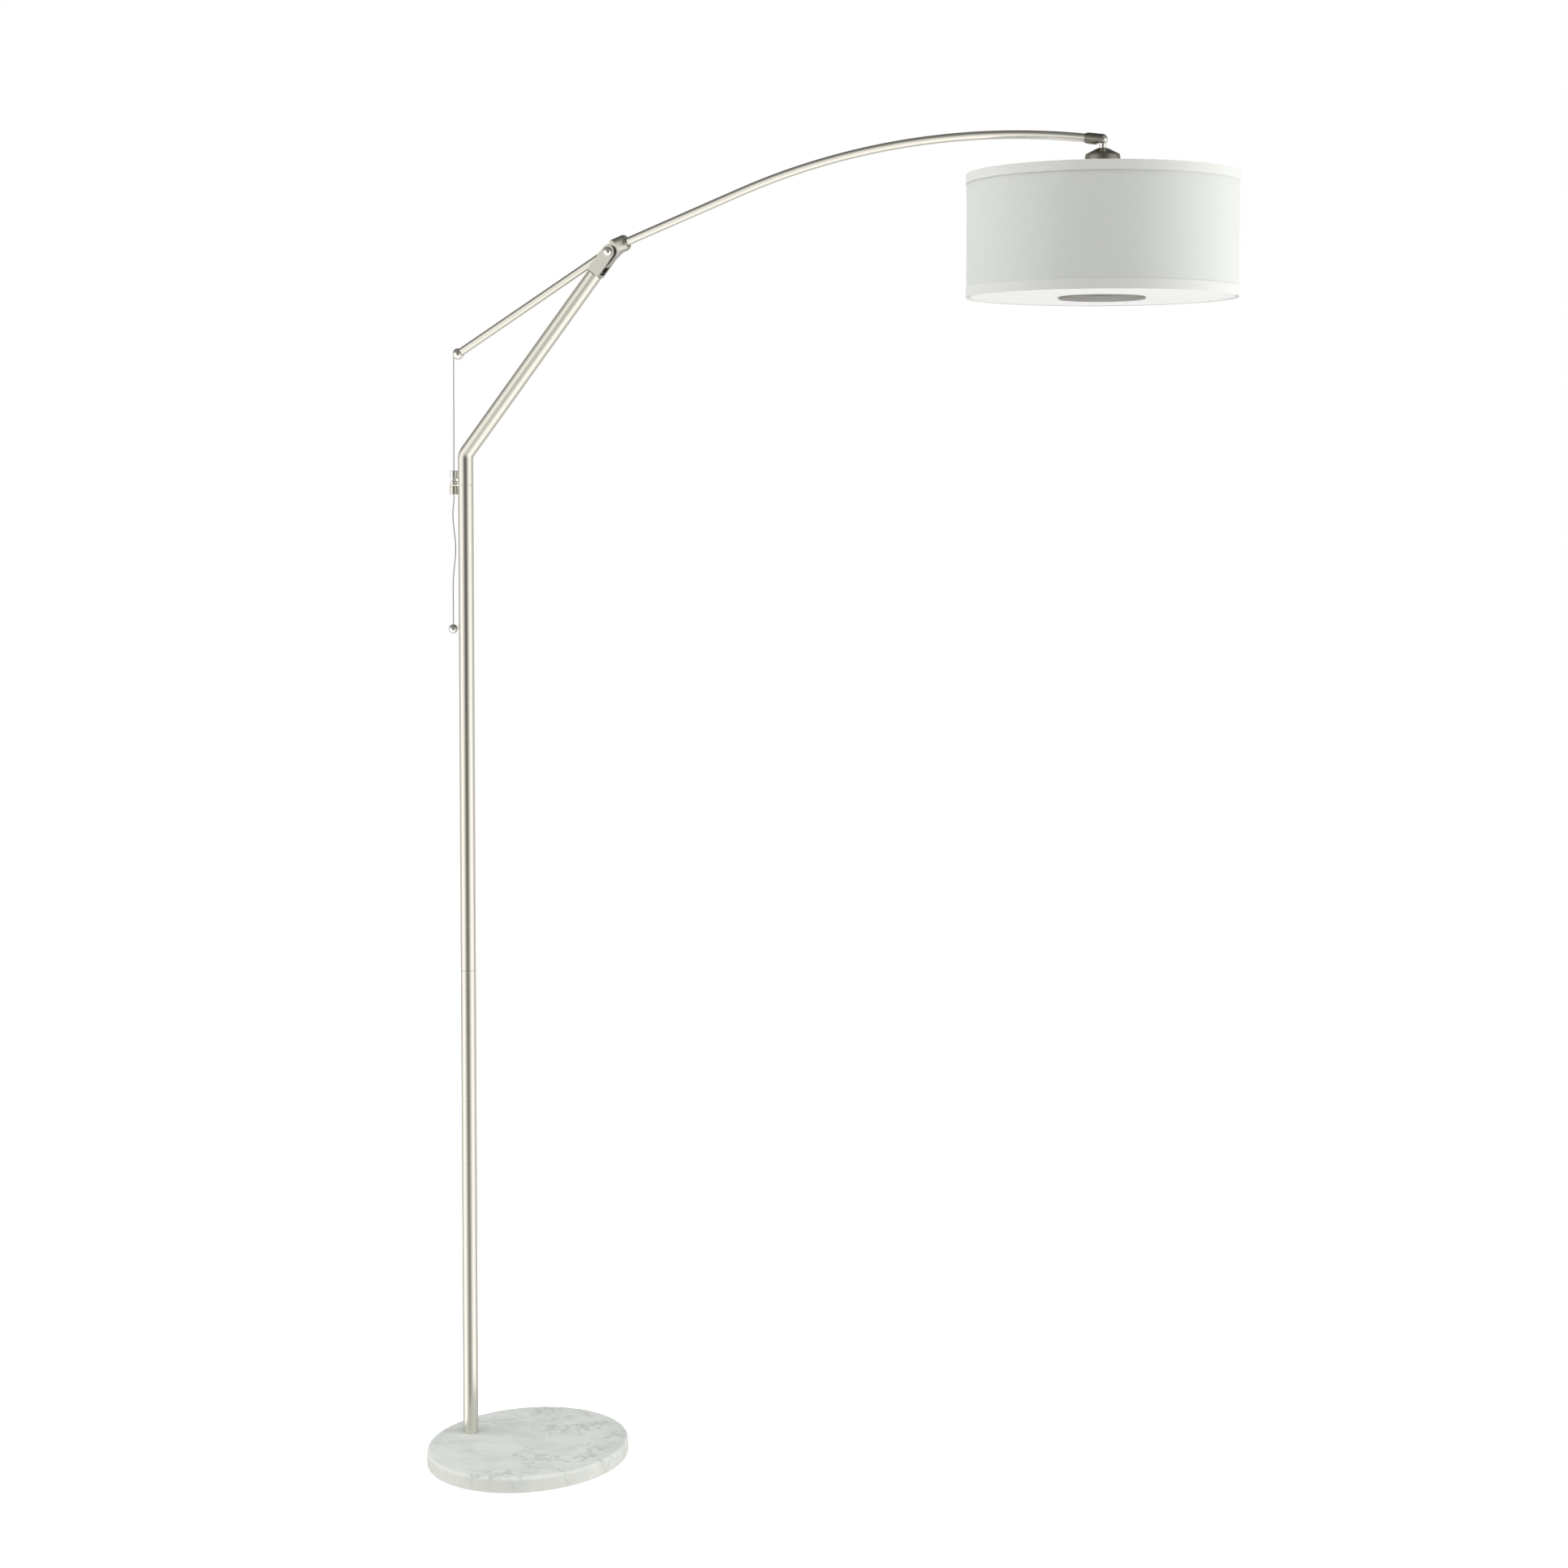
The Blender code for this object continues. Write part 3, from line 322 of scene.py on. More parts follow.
def refined(node, body, key, width=0.0002):
    """A finished copy of a CAD node, with its facets merged, its edges broken and its round faces smooth."""
    source = frame["nodes"][node]
    source.hide_set(False)
    pick(source)
    bpy.ops.object.duplicate()
    piece = bpy.context.object
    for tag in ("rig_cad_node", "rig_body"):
        if tag in piece:
            del piece[tag]
    piece.parent = None
    piece.data = piece.data.copy()
    edit()
    bpy.ops.mesh.remove_doubles(threshold=FACET_MERGE)
    bpy.ops.mesh.dissolve_limited(angle_limit=FACET_ANGLE)
    return finish(soften(leave(node + "_piece"), width, smooth=32), node, body, key)


def knob(node, body, centre, radius, direction, distance, hole):
    """A finished polished ball, flat on one side, with a shallow round socket sunk into the flat."""
    clear_selection()
    bpy.ops.mesh.primitive_uv_sphere_add(segments=64, ring_count=40, radius=radius, location=centre)
    piece = settle(bpy.context.object)
    edit()
    flat = Vector(centre) + Vector(direction) * distance
    bpy.ops.mesh.bisect(plane_co=flat, plane_no=direction, use_fill=True, clear_outer=True)
    bpy.ops.mesh.select_mode(type="FACE")
    rim = math.sqrt(max(piece.dimensions.x / 2, distance) ** 2 - distance ** 2)
    bpy.ops.mesh.inset(thickness=max(rim - hole, 0.0001), depth=0)
    bpy.ops.transform.translate(value=Vector(direction) * -SOCKET_DEPTH)
    bpy.ops.mesh.select_all(action="SELECT")
    bpy.ops.mesh.normals_make_consistent(inside=False)
    piece = leave(node + "_piece")
    return finish(soften(piece, BALL_EDGE, 30, 35), node, body, "polished")


def pipe(node, body, key, start, direction, runs, radius, wall, segments=48):
    """A finished nickel tube. Each run is ("straight", length) or ("bend", centre, angle, steps)."""
    clear_selection()
    bpy.ops.mesh.primitive_circle_add(vertices=segments, radius=radius, fill_type="NOTHING", location=start)
    piece = bpy.context.object
    piece.rotation_mode = "QUATERNION"
    piece.rotation_quaternion = UP.rotation_difference(direction)
    settle(piece)
    edit()
    heading = Vector(direction)
    for kind, *run in runs:
        if kind == "straight":
            bpy.ops.mesh.extrude_region_move(TRANSFORM_OT_translate={"value": heading * run[0]})
        else:
            centre, angle, steps = run
            bpy.ops.mesh.spin(steps=steps, angle=-angle, center=centre, axis=(0, 1, 0))
            heading = Matrix.Rotation(angle, 3, "Y") @ heading
    weld()
    piece = leave(node + "_piece")
    face = min(piece.data.polygons, key=lambda f: (f.center - Vector(start)).length)
    if face.normal.dot(face.center - Vector(start)) < 0:
        piece.data.flip_normals()
    shell = piece.modifiers.new("wall", "SOLIDIFY")
    shell.thickness = wall
    shell.offset = -1
    shell.use_even_offset = True
    bpy.ops.object.modifier_apply(modifier=shell.name)
    return finish(soften(piece, TUBE_EDGE, 40, 35), node, body, key)


# Finishes --------------------------------------------------------------------------------------

class Nodes:
    """A node tree being built, with short calls for its nodes."""

    def __init__(self, tree):
        self.tree = tree

    def node(self, kind, inputs=None, **settings):
        made = self.tree.nodes.new(kind)
        for key, value in settings.items():
            setattr(made, key, value)
        for key, value in (inputs or {}).items():
            if isinstance(value, bpy.types.NodeSocket):
                self.tree.links.new(value, made.inputs[key])
            else:
                made.inputs[key].default_value = value
        return made

    def calc(self, operation, *values):
        return self.node("ShaderNodeMath", dict(enumerate(values)), operation=operation).outputs[0]

    def ramp(self, value, stops):
        made = self.node("ShaderNodeValToRGB", {"Fac": value})
        band = made.color_ramp
        while len(band.elements) < len(stops):
            band.elements.new(0.5)
        for element, (at, tone) in zip(band.elements, stops):
            element.position = at
            element.color = (*tone, 1.0)
        return made.outputs["Color"]

    def span(self, value, from_low, from_high, to_low, to_high):
        ends = {"From Min": from_low, "From Max": from_high, "To Min": to_low, "To Max": to_high}
        return self.node("ShaderNodeMapRange", {"Value": value, **ends}).outputs["Result"]


class Finish(Nodes):
    """A material being built on its Principled shader."""

    def __init__(self, name):
        self.material = bpy.data.materials.new(name)
        self.material.use_nodes = True
        super().__init__(self.material.node_tree)
        self.shader = self.tree.nodes["Principled BSDF"]
        self.place = self.node("ShaderNodeTexCoord").outputs["Object"]

    def mapped(self, source=None, scale=(1, 1, 1), turn=(0, 0, 0), shift=(0, 0, 0)):
        made = self.node(
            "ShaderNodeMapping",
            {"Vector": source or self.place, "Scale": scale, "Rotation": turn, "Location": shift},
        )
        return made.outputs["Vector"]

    def noise(self, vector, scale, detail=3.0, rough=0.55, distortion=0.0):
        grain = {"Scale": scale, "Detail": detail, "Roughness": rough, "Distortion": distortion}
        return self.node("ShaderNodeTexNoise", {"Vector": vector, **grain}).outputs["Fac"]

    def mix(self, fac, a, b):
        made = self.node("ShaderNodeMix", data_type="RGBA")
        for key, value in ((0, fac), (6, a), (7, b)):
            if isinstance(value, bpy.types.NodeSocket):
                self.tree.links.new(value, made.inputs[key])
            else:
                made.inputs[key].default_value = (*value, 1.0)
        return made.outputs[2]

    def bump(self, height, strength, distance):
        made = self.node("ShaderNodeBump", {"Height": height, "Strength": strength, "Distance": distance})
        self.tree.links.new(made.outputs["Normal"], self.shader.inputs["Normal"])

    def set(self, **values):
        for key, value in values.items():
            socket = self.shader.inputs[key.replace("_", " ")]
            if isinstance(value, bpy.types.NodeSocket):
                self.tree.links.new(value, socket)
            else:
                socket.default_value = value
        return self.material


def shade(tone, factor):
    return tuple(min(1.0, c * factor) for c in tone)


def brushed(name, tone, rough=0.22, tilt=0.0, ring=900.0):
    """Plated metal brushed round its axis, which leans by tilt in the lamp's middle plane."""
    f = Finish(name)
    along = f.mapped(turn=(0, -tilt, 0))
    lines = f.noise(f.mapped(along, scale=(6, 6, ring)), 1.0, 2.0, 0.6)
    cloud = f.noise(f.mapped(scale=(1, 1, 0.6)), 38.0, 3.0, 0.6)
    grit = f.noise(f.mapped(along, scale=(70, 70, 2600)), 1.0, 1.0, 0.5)
    f.bump(grit, 0.03, 0.00003)
    by_line = f.span(lines, 0.25, 0.75, rough - 0.02, rough + 0.02)
    by_cloud = f.span(cloud, 0.3, 0.7, -0.02, 0.02)
    tint = f.ramp(lines, [(0.3, shade(tone, 0.97)), (0.7, shade(tone, 1.02))])
    return f.set(Base_Color=tint, Metallic=1.0, Roughness=f.calc("ADD", by_line, by_cloud))


def polished(name, tone):
    """Bright plate with faint wipe marks."""
    f = Finish(name)
    haze = f.noise(f.mapped(scale=(1, 1, 1.6)), 210.0, 4.0, 0.6)
    ripple = f.noise(f.mapped(), 60.0, 2.0, 0.5)
    f.bump(ripple, 0.05, 0.0002)
    return f.set(
        Base_Color=f.ramp(haze, [(0.3, shade(tone, 0.97)), (0.7, tone)]), Metallic=1.0,
        Roughness=f.span(haze, 0.3, 0.75, 0.07, 0.15),
    )


def spun(name, tone, centre):
    """Disc with fine rings round its own centre."""
    f = Finish(name)
    local = f.mapped(shift=(-centre.x, -centre.y, 0))
    flat = f.node("ShaderNodeVectorMath", {0: local, 1: (1, 1, 0)}, operation="MULTIPLY").outputs[0]
    reach = f.node("ShaderNodeVectorMath", {0: flat}, operation="LENGTH").outputs["Value"]
    rings = f.node(
        "ShaderNodeTexNoise", {"W": reach, "Scale": 2200.0, "Detail": 2.0}, noise_dimensions="1D"
    ).outputs["Fac"]
    cloud = f.noise(f.mapped(), 30.0, 3.0, 0.6)
    f.bump(rings, 0.16, 0.00008)
    tint = f.ramp(rings, [(0.3, shade(tone, 0.92)), (0.7, shade(tone, 1.05))])
    return f.set(Base_Color=tint, Metallic=1.0, Roughness=f.span(cloud, 0.3, 0.7, 0.28, 0.37))


# How far below the foot's top the side turns to saw streaks and a painted shade, darker than the top
SAWN_SHADE_FROM = 0.0015
SAWN_SHADE_FULL = 0.0065


def marble(finishes):
    """White marble: soft grey clouds, broken veins and small crystals on top, and on the side below the top,
    saw streaks with the stone painted darker as shade.
    """
    f = Finish("white_marble")
    stone, vein = tuple(finishes.stone), tuple(finishes.vein)
    turned_grain = f.mapped(turn=(0.2, 0.15, 0.7), scale=(1.0, 1.35, 0.6))
    cloud = f.noise(turned_grain, 12.0, 8.0, 0.66, 0.4)
    clouds = f.ramp(cloud, [(0.34, shade(vein, 1.4)), (0.52, stone), (0.8, shade(stone, 1.04))])
    ridge = f.noise(turned_grain, 9.0, 7.0, 0.62, 0.4)
    fold = f.calc("ABSOLUTE", f.calc("SUBTRACT", ridge, 0.5))
    lines = f.span(fold, 0.0, 0.022, 0.8, 0.0)
    patch = f.span(f.noise(f.mapped(), 9.0, 3.0, 0.6), 0.44, 0.60, 0.0, 1.0)
    body = f.mix(f.calc("MULTIPLY", lines, patch), clouds, vein)
    depth = f.node("ShaderNodeSeparateXYZ", {0: f.mapped()}).outputs["Z"]
    # Below the top: saw streaks, and the stone painted darker as shade on the side
    sawn_side_shade = f.span(depth, FOOT_TOP - SAWN_SHADE_FULL, FOOT_TOP - SAWN_SHADE_FROM, 0.62, 0.0)
    streak = f.noise(f.mapped(scale=(1, 1, 0.1)), 60.0, 3.0, 0.6)
    side_shade_tone = tuple(a * b for a, b in zip(stone, (0.80, 0.785, 0.735)))
    body = f.mix(sawn_side_shade, body, f.ramp(streak, [(0.32, shade(stone, 0.70)), (0.6, side_shade_tone)]))
    grain = f.node("ShaderNodeTexVoronoi", {"Vector": f.mapped(), "Scale": 420.0}).outputs["Distance"]
    body = f.mix(f.span(grain, 0.0, 0.8, 0.03, 0.0), body, shade(vein, 1.15))
    f.bump(grain, 0.02, 0.0001)
    return f.set(
        Base_Color=body, Roughness=f.span(f.noise(f.mapped(), 60.0, 3.0), 0.3, 0.7, 0.34, 0.46),
        Specular_IOR_Level=0.4, Coat_Weight=0.05, Coat_Roughness=0.25,
    )


def cloth(name, tone, pitch, strength=0.5, slub=0.06):
    """Woven cloth on the piece's own UV map, which is in metres round and up the shade."""
    f = Finish(name)
    uv = f.node("ShaderNodeUVMap", uv_map="weave").outputs["UV"]
    wander = f.noise(f.mapped(uv, scale=(60, 60, 1)), 1.0, 2.0)
    thread = {"Scale": 1.0 / pitch / math.pi, "Distortion": 0.9, "Detail": 1.0, "Detail Scale": 40.0}
    warp, weft = (
        f.node("ShaderNodeTexWave", {"Vector": f.mapped(uv), **thread}, bands_direction=way).outputs["Fac"]
        for way in "XY"
    )
    weave = f.calc("MAXIMUM", warp, weft)
    slub_up = f.noise(f.mapped(uv, scale=(900, 22, 1)), 1.0, 2.0, 0.6)
    slub_round = f.noise(f.mapped(uv, scale=(14, 700, 1)), 1.0, 2.0, 0.6)
    slubs = f.calc("ADD", slub_up, slub_round)
    shadowed = f.mix(f.span(weave, 0.1, 0.7, 0.16, 0.0), tone, shade(tone, 0.72))
    streaks = f.mix(f.span(slubs, 0.8, 1.2, slub * 2, 0.0), shadowed, shade(tone, 0.84))
    body = f.mix(f.span(wander, 0.35, 0.65, 0.0, 0.10), streaks, shade(tone, 1.06))
    f.bump(f.calc("ADD", weave, slubs), strength, 0.00018)
    return f.set(
        Base_Color=body, Roughness=f.span(slubs, 0.7, 1.3, 0.78, 0.92),
        Sheen_Weight=0.15, Sheen_Roughness=0.4, Specular_IOR_Level=0.25,
    )


def plain(name, tone, rough, grain, variation, metallic=0.0, strength=0.08):
    """Moulded, painted or cast surface with a fine grain."""
    f = Finish(name)
    speck = f.noise(f.mapped(), grain, 3.0, 0.6)
    cloud = f.noise(f.mapped(), grain / 12, 2.0, 0.5)
    f.bump(speck, strength, 0.0001)
    return f.set(
        Base_Color=f.ramp(cloud, [(0.3, shade(tone, 1 - variation)), (0.7, shade(tone, 1 + variation))]),
        Roughness=f.span(speck, 0.3, 0.7, rough - 0.05, rough + 0.06), Metallic=metallic,
    )


def stranded(name):
    """Steel cable: grooves painted dark as shade lie across the cable at a slant."""
    f = Finish(name)
    slant = f.mapped(turn=(0, math.radians(58), math.radians(20)))
    lay = f.node("ShaderNodeTexWave", {"Vector": slant, "Scale": 420.0}, bands_direction="X").outputs["Fac"]
    f.bump(lay, 0.6, 0.0002)
    # Near black in the grooves between strands is painted shade
    tint = f.ramp(lay, [(0.05, (0.10, 0.10, 0.10)), (0.4, (0.40, 0.40, 0.41)), (0.9, (0.62, 0.62, 0.63))])
    return f.set(Base_Color=tint, Metallic=0.9, Roughness=f.span(lay, 0.0, 1.0, 0.5, 0.32))


LEVEL = math.pi / 2
ARC_LEAN = LEVEL - 0.1
REAR_LEAN = LEVEL - 0.5
MAKERS = {
    "pole": lambda t: brushed("nickel_pole", t.nickel),
    "elbow": lambda t: brushed("nickel_elbow", t.nickel, tilt=TUBE_LEAN),
    "arc": lambda t: brushed("nickel_arc", t.nickel, tilt=ARC_LEAN),
    "rear": lambda t: brushed("nickel_rear", t.nickel, tilt=REAR_LEAN),
    # Fork and knuckle: the pole's nickel painted darker as shade, and rougher
    "fitting": lambda t: brushed("nickel_fitting", shade(t.nickel, 0.76), 0.26, TUBE_LEAN, 500),
    "polished": lambda t: polished("polished_nickel", t.polish),
    "cap": lambda t: brushed("nickel_cap", t.dark_nickel, 0.3, ring=1500),
    "socket": lambda t: brushed("nickel_socket", t.dark_nickel, 0.26, LEVEL),
    "disc": lambda t: spun("nickel_disc", t.disc, SHADE_AXIS),
    "marble": marble,
    "linen": lambda t: cloth("linen_weave", t.linen, 0.00075),
    "trim": lambda t: cloth("trim_tape", t.trim, 0.0006, 0.35, 0.04),
    "lining": lambda t: plain("shade_lining", (0.88, 0.88, 0.86), 0.6, 900, 0.05),
    "diffuser": lambda t: plain("frosted_acrylic", t.diffuser, 0.42, 700, 0.01, strength=0.03),
    "bulb": lambda t: plain("frosted_glass", (0.93, 0.93, 0.91), 0.24, 500, 0.01, strength=0.02),
    "phenolic": lambda t: plain("moulded_black", (0.035, 0.035, 0.035), 0.42, 900, 0.15),
    "enamel": lambda t: plain("white_enamel", (0.86, 0.86, 0.84), 0.34, 260, 0.02),
    "steel": lambda t: plain("zinc_steel", (0.58, 0.585, 0.60), 0.34, 420, 0.12, 1.0, 0.12),
    "nylon": lambda t: plain("nylon", (0.83, 0.82, 0.78), 0.5, 600, 0.03),
    "felt": lambda t: plain("felt", (0.30, 0.30, 0.29), 0.95, 1800, 0.35, strength=0.6),
    "cable": lambda t: stranded("steel_strands"),
}
MATERIALS = {}


def material(key):
    """Each finish is made once, from the colours in the panel."""
    if key not in MATERIALS:
        MATERIALS[key] = MAKERS[key](bpy.context.scene.lamp_finishes)
    return MATERIALS[key]


# Stage -----------------------------------------------------------------------------------------

CAMERA_TURN = math.radians(23.967)
CAMERA_DIP = math.radians(2.829)
CAMERA_PLACE = (2.2577, -4.0504, 1.5853)
CAMERA_LENS = 65.891
CAMERA_SENSOR = 36.0
CAMERA_SHIFT = -0.10
CAMERA_REACH = 60.0

# Tones of the room: from away from the camera to towards it, and from straight down to straight up
ROOM_ROUND = [(0.0, 0.46), (0.14, 0.50), (0.35, 0.46), (0.45, 0.76), (0.52, 1.0), (0.75, 1.0), (0.83, 0.90),
              (0.89, 0.62), (0.955, 0.36), (0.985, 0.18), (1.0, 0.06)]
ROOM_HEIGHT = [(0.0, 1.0), (0.40, 1.0), (0.54, 0.95), (0.66, 0.55), (0.80, 0.24), (1.0, 0.16)]
ROOM_WARMTH = (1.0, 1.0, 0.985)
MATT_SHARE = 0.5

# Name, place, size, the point it faces and its power
SOFT_BOXES = (
    ("overhead", (0.4, -0.6, 4.2), (4.0, 3.0), (0.4, 0, 0), "top_light"),
    ("left_box", (-2.30, -1.55, 1.3), (3.4, 3.4), (0.1, 0, 1.3), "left_light"),
    ("right_box", (3.45, 0.75, 1.5), (2.2, 3.2), (0.5, 0, 1.4), "right_light"),
)
FLOOR_SIZE = 40
FLOOR_GAP = 0.0002


def soft_room():
    """World light: a pale room, dim overhead and in a strip behind the camera, white where seen."""
    world = bpy.data.worlds.new("soft_room")
    bpy.context.scene.world = world
    world.use_nodes = True
    world.node_tree.nodes.clear()
    n = Nodes(world.node_tree)
    place = n.node("ShaderNodeTexCoord").outputs["Generated"]
    to_camera = (math.sin(CAMERA_TURN), -math.cos(CAMERA_TURN), 0)
    along = n.node("ShaderNodeVectorMath", {0: place, 1: to_camera}, operation="DOT_PRODUCT")
    toward = along.outputs["Value"]
    height = n.node("ShaderNodeSeparateXYZ", {0: place}).outputs["Z"]
    tones = {}
    for i, (value, stops) in enumerate(((toward, ROOM_ROUND), (height, ROOM_HEIGHT))):
        warm = [(at, tuple(tone * share for share in ROOM_WARMTH)) for at, tone in stops]
        tones[i] = n.ramp(n.span(value, -1.0, 1.0, 0.0, 1.0), warm)
    both = n.node("ShaderNodeVectorMath", tones, operation="MULTIPLY").outputs["Vector"]
    ray = n.node("ShaderNodeLightPath")
    room = bpy.context.scene.lamp_stage.room_light
    strength = n.span(ray.outputs["Is Glossy Ray"], 0.0, 1.0, room * MATT_SHARE, room)
    glow = n.node("ShaderNodeBackground", {"Color": both, "Strength": strength}).outputs[0]
    white = n.node("ShaderNodeBackground", {"Color": (1, 1, 1, 1)}).outputs[0]
    either = n.node("ShaderNodeMixShader", {0: ray.outputs["Is Camera Ray"], 1: glow, 2: white})
    n.node("ShaderNodeOutputWorld", {"Surface": either.outputs[0]})


class LAMP_OT_stage(bpy.types.Operator):
    """Camera, pale floor and soft light"""

    bl_idname = "lamp.stage"
    bl_label = "Stage"

    def execute(self, context):
        self.camera(context.scene)
        soft_room()
        self.floor(tuple(context.scene.lamp_stage.floor))
        for box in SOFT_BOXES:
            self.soft_box(*box)
        return {"FINISHED"}

    def camera(self, scene):
        clear_selection()
        turn = (LEVEL - CAMERA_DIP, 0, CAMERA_TURN)
        bpy.ops.object.camera_add(location=CAMERA_PLACE, rotation=turn)
        camera = bpy.context.object
        camera.name = "camera"
        camera.data.sensor_width = CAMERA_SENSOR
        camera.data.lens = CAMERA_LENS
        camera.data.shift_y = CAMERA_SHIFT
        camera.data.clip_end = CAMERA_REACH
        scene.camera = camera
        scene.view_settings.view_transform = "Standard"

    def floor(self, tone):
        clear_selection()
        bpy.ops.mesh.primitive_plane_add(size=FLOOR_SIZE, location=(0, 0, -FLOOR_GAP))
        floor = bpy.context.object
        floor.name = "floor"
        f = Finish("pale_floor")
        cloud = f.noise(f.mapped(), 2.0, 3.0)
        seen = f.node("ShaderNodeLightPath").outputs["Is Camera Ray"]
        floor.data.materials.append(f.set(
            Base_Color=f.ramp(cloud, [(0.3, shade(tone, 0.995)), (0.7, tone)]), Roughness=0.9,
            Specular_IOR_Level=0.1, Emission_Color=(1, 1, 1, 1),
            Emission_Strength=f.span(seen, 0.0, 1.0, 0.2, 0.9),
        ))
        floor.visible_glossy = False

    def soft_box(self, name, place, size, target, setting):
        clear_selection()
        turn = (Vector(target) - Vector(place)).to_track_quat("-Z", "Y").to_euler()
        bpy.ops.object.light_add(type="AREA", location=place, rotation=turn)
        lamp = bpy.context.object
        lamp.name = name
        lamp.data.shape = "RECTANGLE"
        lamp.data.size, lamp.data.size_y = size
        lamp.data.energy = getattr(bpy.context.scene.lamp_stage, setting)
        lamp.visible_glossy = False


# Cable -----------------------------------------------------------------------------------------

TAIL_SWAY = 0.0025
TAIL_WAVES = 1.25
TAIL_WAVE_DROP = 0.147
TAIL_STEPS = 30
TAIL_FULL_BY = 0.2
TAIL_START_DEPTH = 0.0037
BALL_GAP = 0.0004
UPPER_STEPS = 12


def tail_route():
    """The free end: straight through the clutch, a slow wave, then straight to the pull ball."""
    start = high("clutch_plunger")[2] - TAIL_START_DEPTH
    clutch = low("clutch_body")[2]
    points = [Vector((CABLE_X, 0, start)), Vector((CABLE_X, 0, clutch))]
    for i in range(1, TAIL_STEPS + 1):
        u = i / TAIL_STEPS
        sway = TAIL_SWAY * min(1.0, u / TAIL_FULL_BY) * math.sin(2 * math.pi * TAIL_WAVES * u)
        points.append(Vector((CABLE_X - sway, 0, clutch - TAIL_WAVE_DROP * u)))
    points.append(Vector((PULL_BALL.x, 0, high("pull_ball")[2] + BALL_GAP)))
    return points


def wire(node, body, points, radius):
    """A finished round cable along points: a curve with a thickness, made a closed mesh."""
    name = node + "_piece"
    curve = bpy.data.curves.new(name, "CURVE")
    curve.dimensions = "3D"
    curve.bevel_depth = radius
    curve.bevel_resolution = 4
    curve.use_fill_caps = True
    spline = curve.splines.new("POLY")
    spline.points.add(len(points) - 1)
    for point, co in zip(spline.points, points):
        point.co = (*co, 1)
    guide = bpy.data.objects.new(name, curve)
    bpy.context.collection.objects.link(guide)
    pick(guide)
    bpy.ops.object.convert(target="MESH")
    edit()
    weld()
    return finish(soften(leave(name), 0, smooth=50), node, body, "cable")


class LAMP_OT_cable(bpy.types.Operator):
    """Steel cable: the run up to the arm, and the free end that hangs from the clutch"""

    bl_idname = "lamp.cable"
    bl_label = "Cable"

    def execute(self, context):
        radius = context.scene.lamp_sizes.cable_thick / 2
        points = tail_route()
        tail = wire("cable_tail", "cable_tail", points, radius)
        ball_r = (high("pull_ball")[2] - low("pull_ball")[2]) / 2
        flat, cable_hole = 0.00735, 0.0011
        ball_piece = knob("pull_ball", "cable_tail", PULL_BALL, ball_r, UP, flat, cable_hole)
        top = Vector((high("cable_upper")[0] - radius, 0, high("cable_upper")[2]))
        bottom = Vector((CABLE_X, 0, low("cable_upper")[2]))
        straight = [top.lerp(bottom, i / UPPER_STEPS) for i in range(UPPER_STEPS + 1)]
        wire("cable_upper", "cable_link", straight, radius)
        return {"FINISHED"}


# Foot and pole ---------------------------------------------------------------------------------

WELL_TOP = 0.0135
WELL_R = 0.021
STUD_HOLE_R = 0.0065
PAD_HOLE_R = 0.0225
CUT_TOP = 0.03
CUT_FOOT = -0.01


def oval(node, vertices):
    """An upright oval slab that fills a node's box."""
    a, b = Vector(low(node)), Vector(high(node))
    clear_selection()
    bpy.ops.mesh.primitive_cylinder_add(
        vertices=vertices, radius=1.0, depth=b.z - a.z, location=(0, 0, (a.z + b.z) / 2)
    )
    edit()
    bpy.ops.transform.resize(value=((b.x - a.x) / 2, (b.y - a.y) / 2, 1), center_override=(0, 0, 0))
    return settle(leave(node + "_piece"))


class LAMP_OT_foot(bpy.types.Operator):
    """Oval marble foot with rounded edges, on its felt pad"""

    bl_idname = "lamp.foot"
    bl_label = "Foot"

    def execute(self, context):
        rounding = context.scene.lamp_sizes.foot_round
        slab = oval("marble_base", 192)
        self.round_rim(slab, high("marble_base")[2], rounding, 8)
        self.round_rim(slab, low("marble_base")[2], rounding / 3, 4)
        bore(slab, [(STUD_HOLE_R, CUT_TOP), (STUD_HOLE_R, WELL_TOP), (WELL_R, WELL_TOP), (WELL_R, CUT_FOOT)])
        finish(soften(slab, 0), "marble_base", "stand", "marble")
        pad = oval("felt_pad", 144)
        bore(pad, [(PAD_HOLE_R, -CUT_FOOT), (PAD_HOLE_R, CUT_FOOT)])
        finish(soften(pad, 0.0002, 40), "felt_pad", "stand", "felt")
        for node in ("base_washer", "base_nut", "base_stud"):
            refined(node, "stand", "steel")
        return {"FINISHED"}

    def round_rim(self, slab, height, width, steps):
        """Bevel the slab's edge that lies at a height."""
        pick(slab)
        edit("EDGE")
        bpy.ops.mesh.select_all(action="DESELECT")
        bpy.ops.object.mode_set(mode="OBJECT")
        for edge in slab.data.edges:
            edge.select = all(abs(slab.data.vertices[i].co.z - height) < RIM_FIND for i in edge.vertices)
        bpy.ops.object.mode_set(mode="EDIT")
        bpy.ops.mesh.bevel(offset=width, segments=steps, affect="EDGES")
        bpy.ops.object.mode_set(mode="OBJECT")


class LAMP_OT_pole(bpy.types.Operator):
    """Two straight pole tubes and the bent one above them"""

    bl_idname = "lamp.pole"
    bl_label = "Pole"

    def execute(self, context):
        for node in ("pole_lower", "pole_middle"):
            rise = high(node)[2] - low(node)[2]
            self.tube(node, "pole", [("straight", rise)])
        radius = ELBOW_REACH / math.tan(TUBE_LEAN / 2)
        centre = (POLE_X + radius, 0, ELBOW.z - ELBOW_REACH)
        self.tube("elbow_tube", "elbow", [
            ("straight", ELBOW.z - ELBOW_REACH - low("elbow_tube")[2]), ("bend", centre, TUBE_LEAN, 8),
            ("straight", TUBE_RUN - ELBOW_REACH),
        ])
        for node in ("pole_plug", "pole_coupler_lower", "pole_coupler_upper", "fork_plug"):
            keep(node, "steel")
        return {"FINISHED"}

    def tube(self, node, key, runs):
        pipe(node, "stand", key, (POLE_X, 0, low(node)[2]), UP, runs, POLE_R, POLE_WALL, 96)


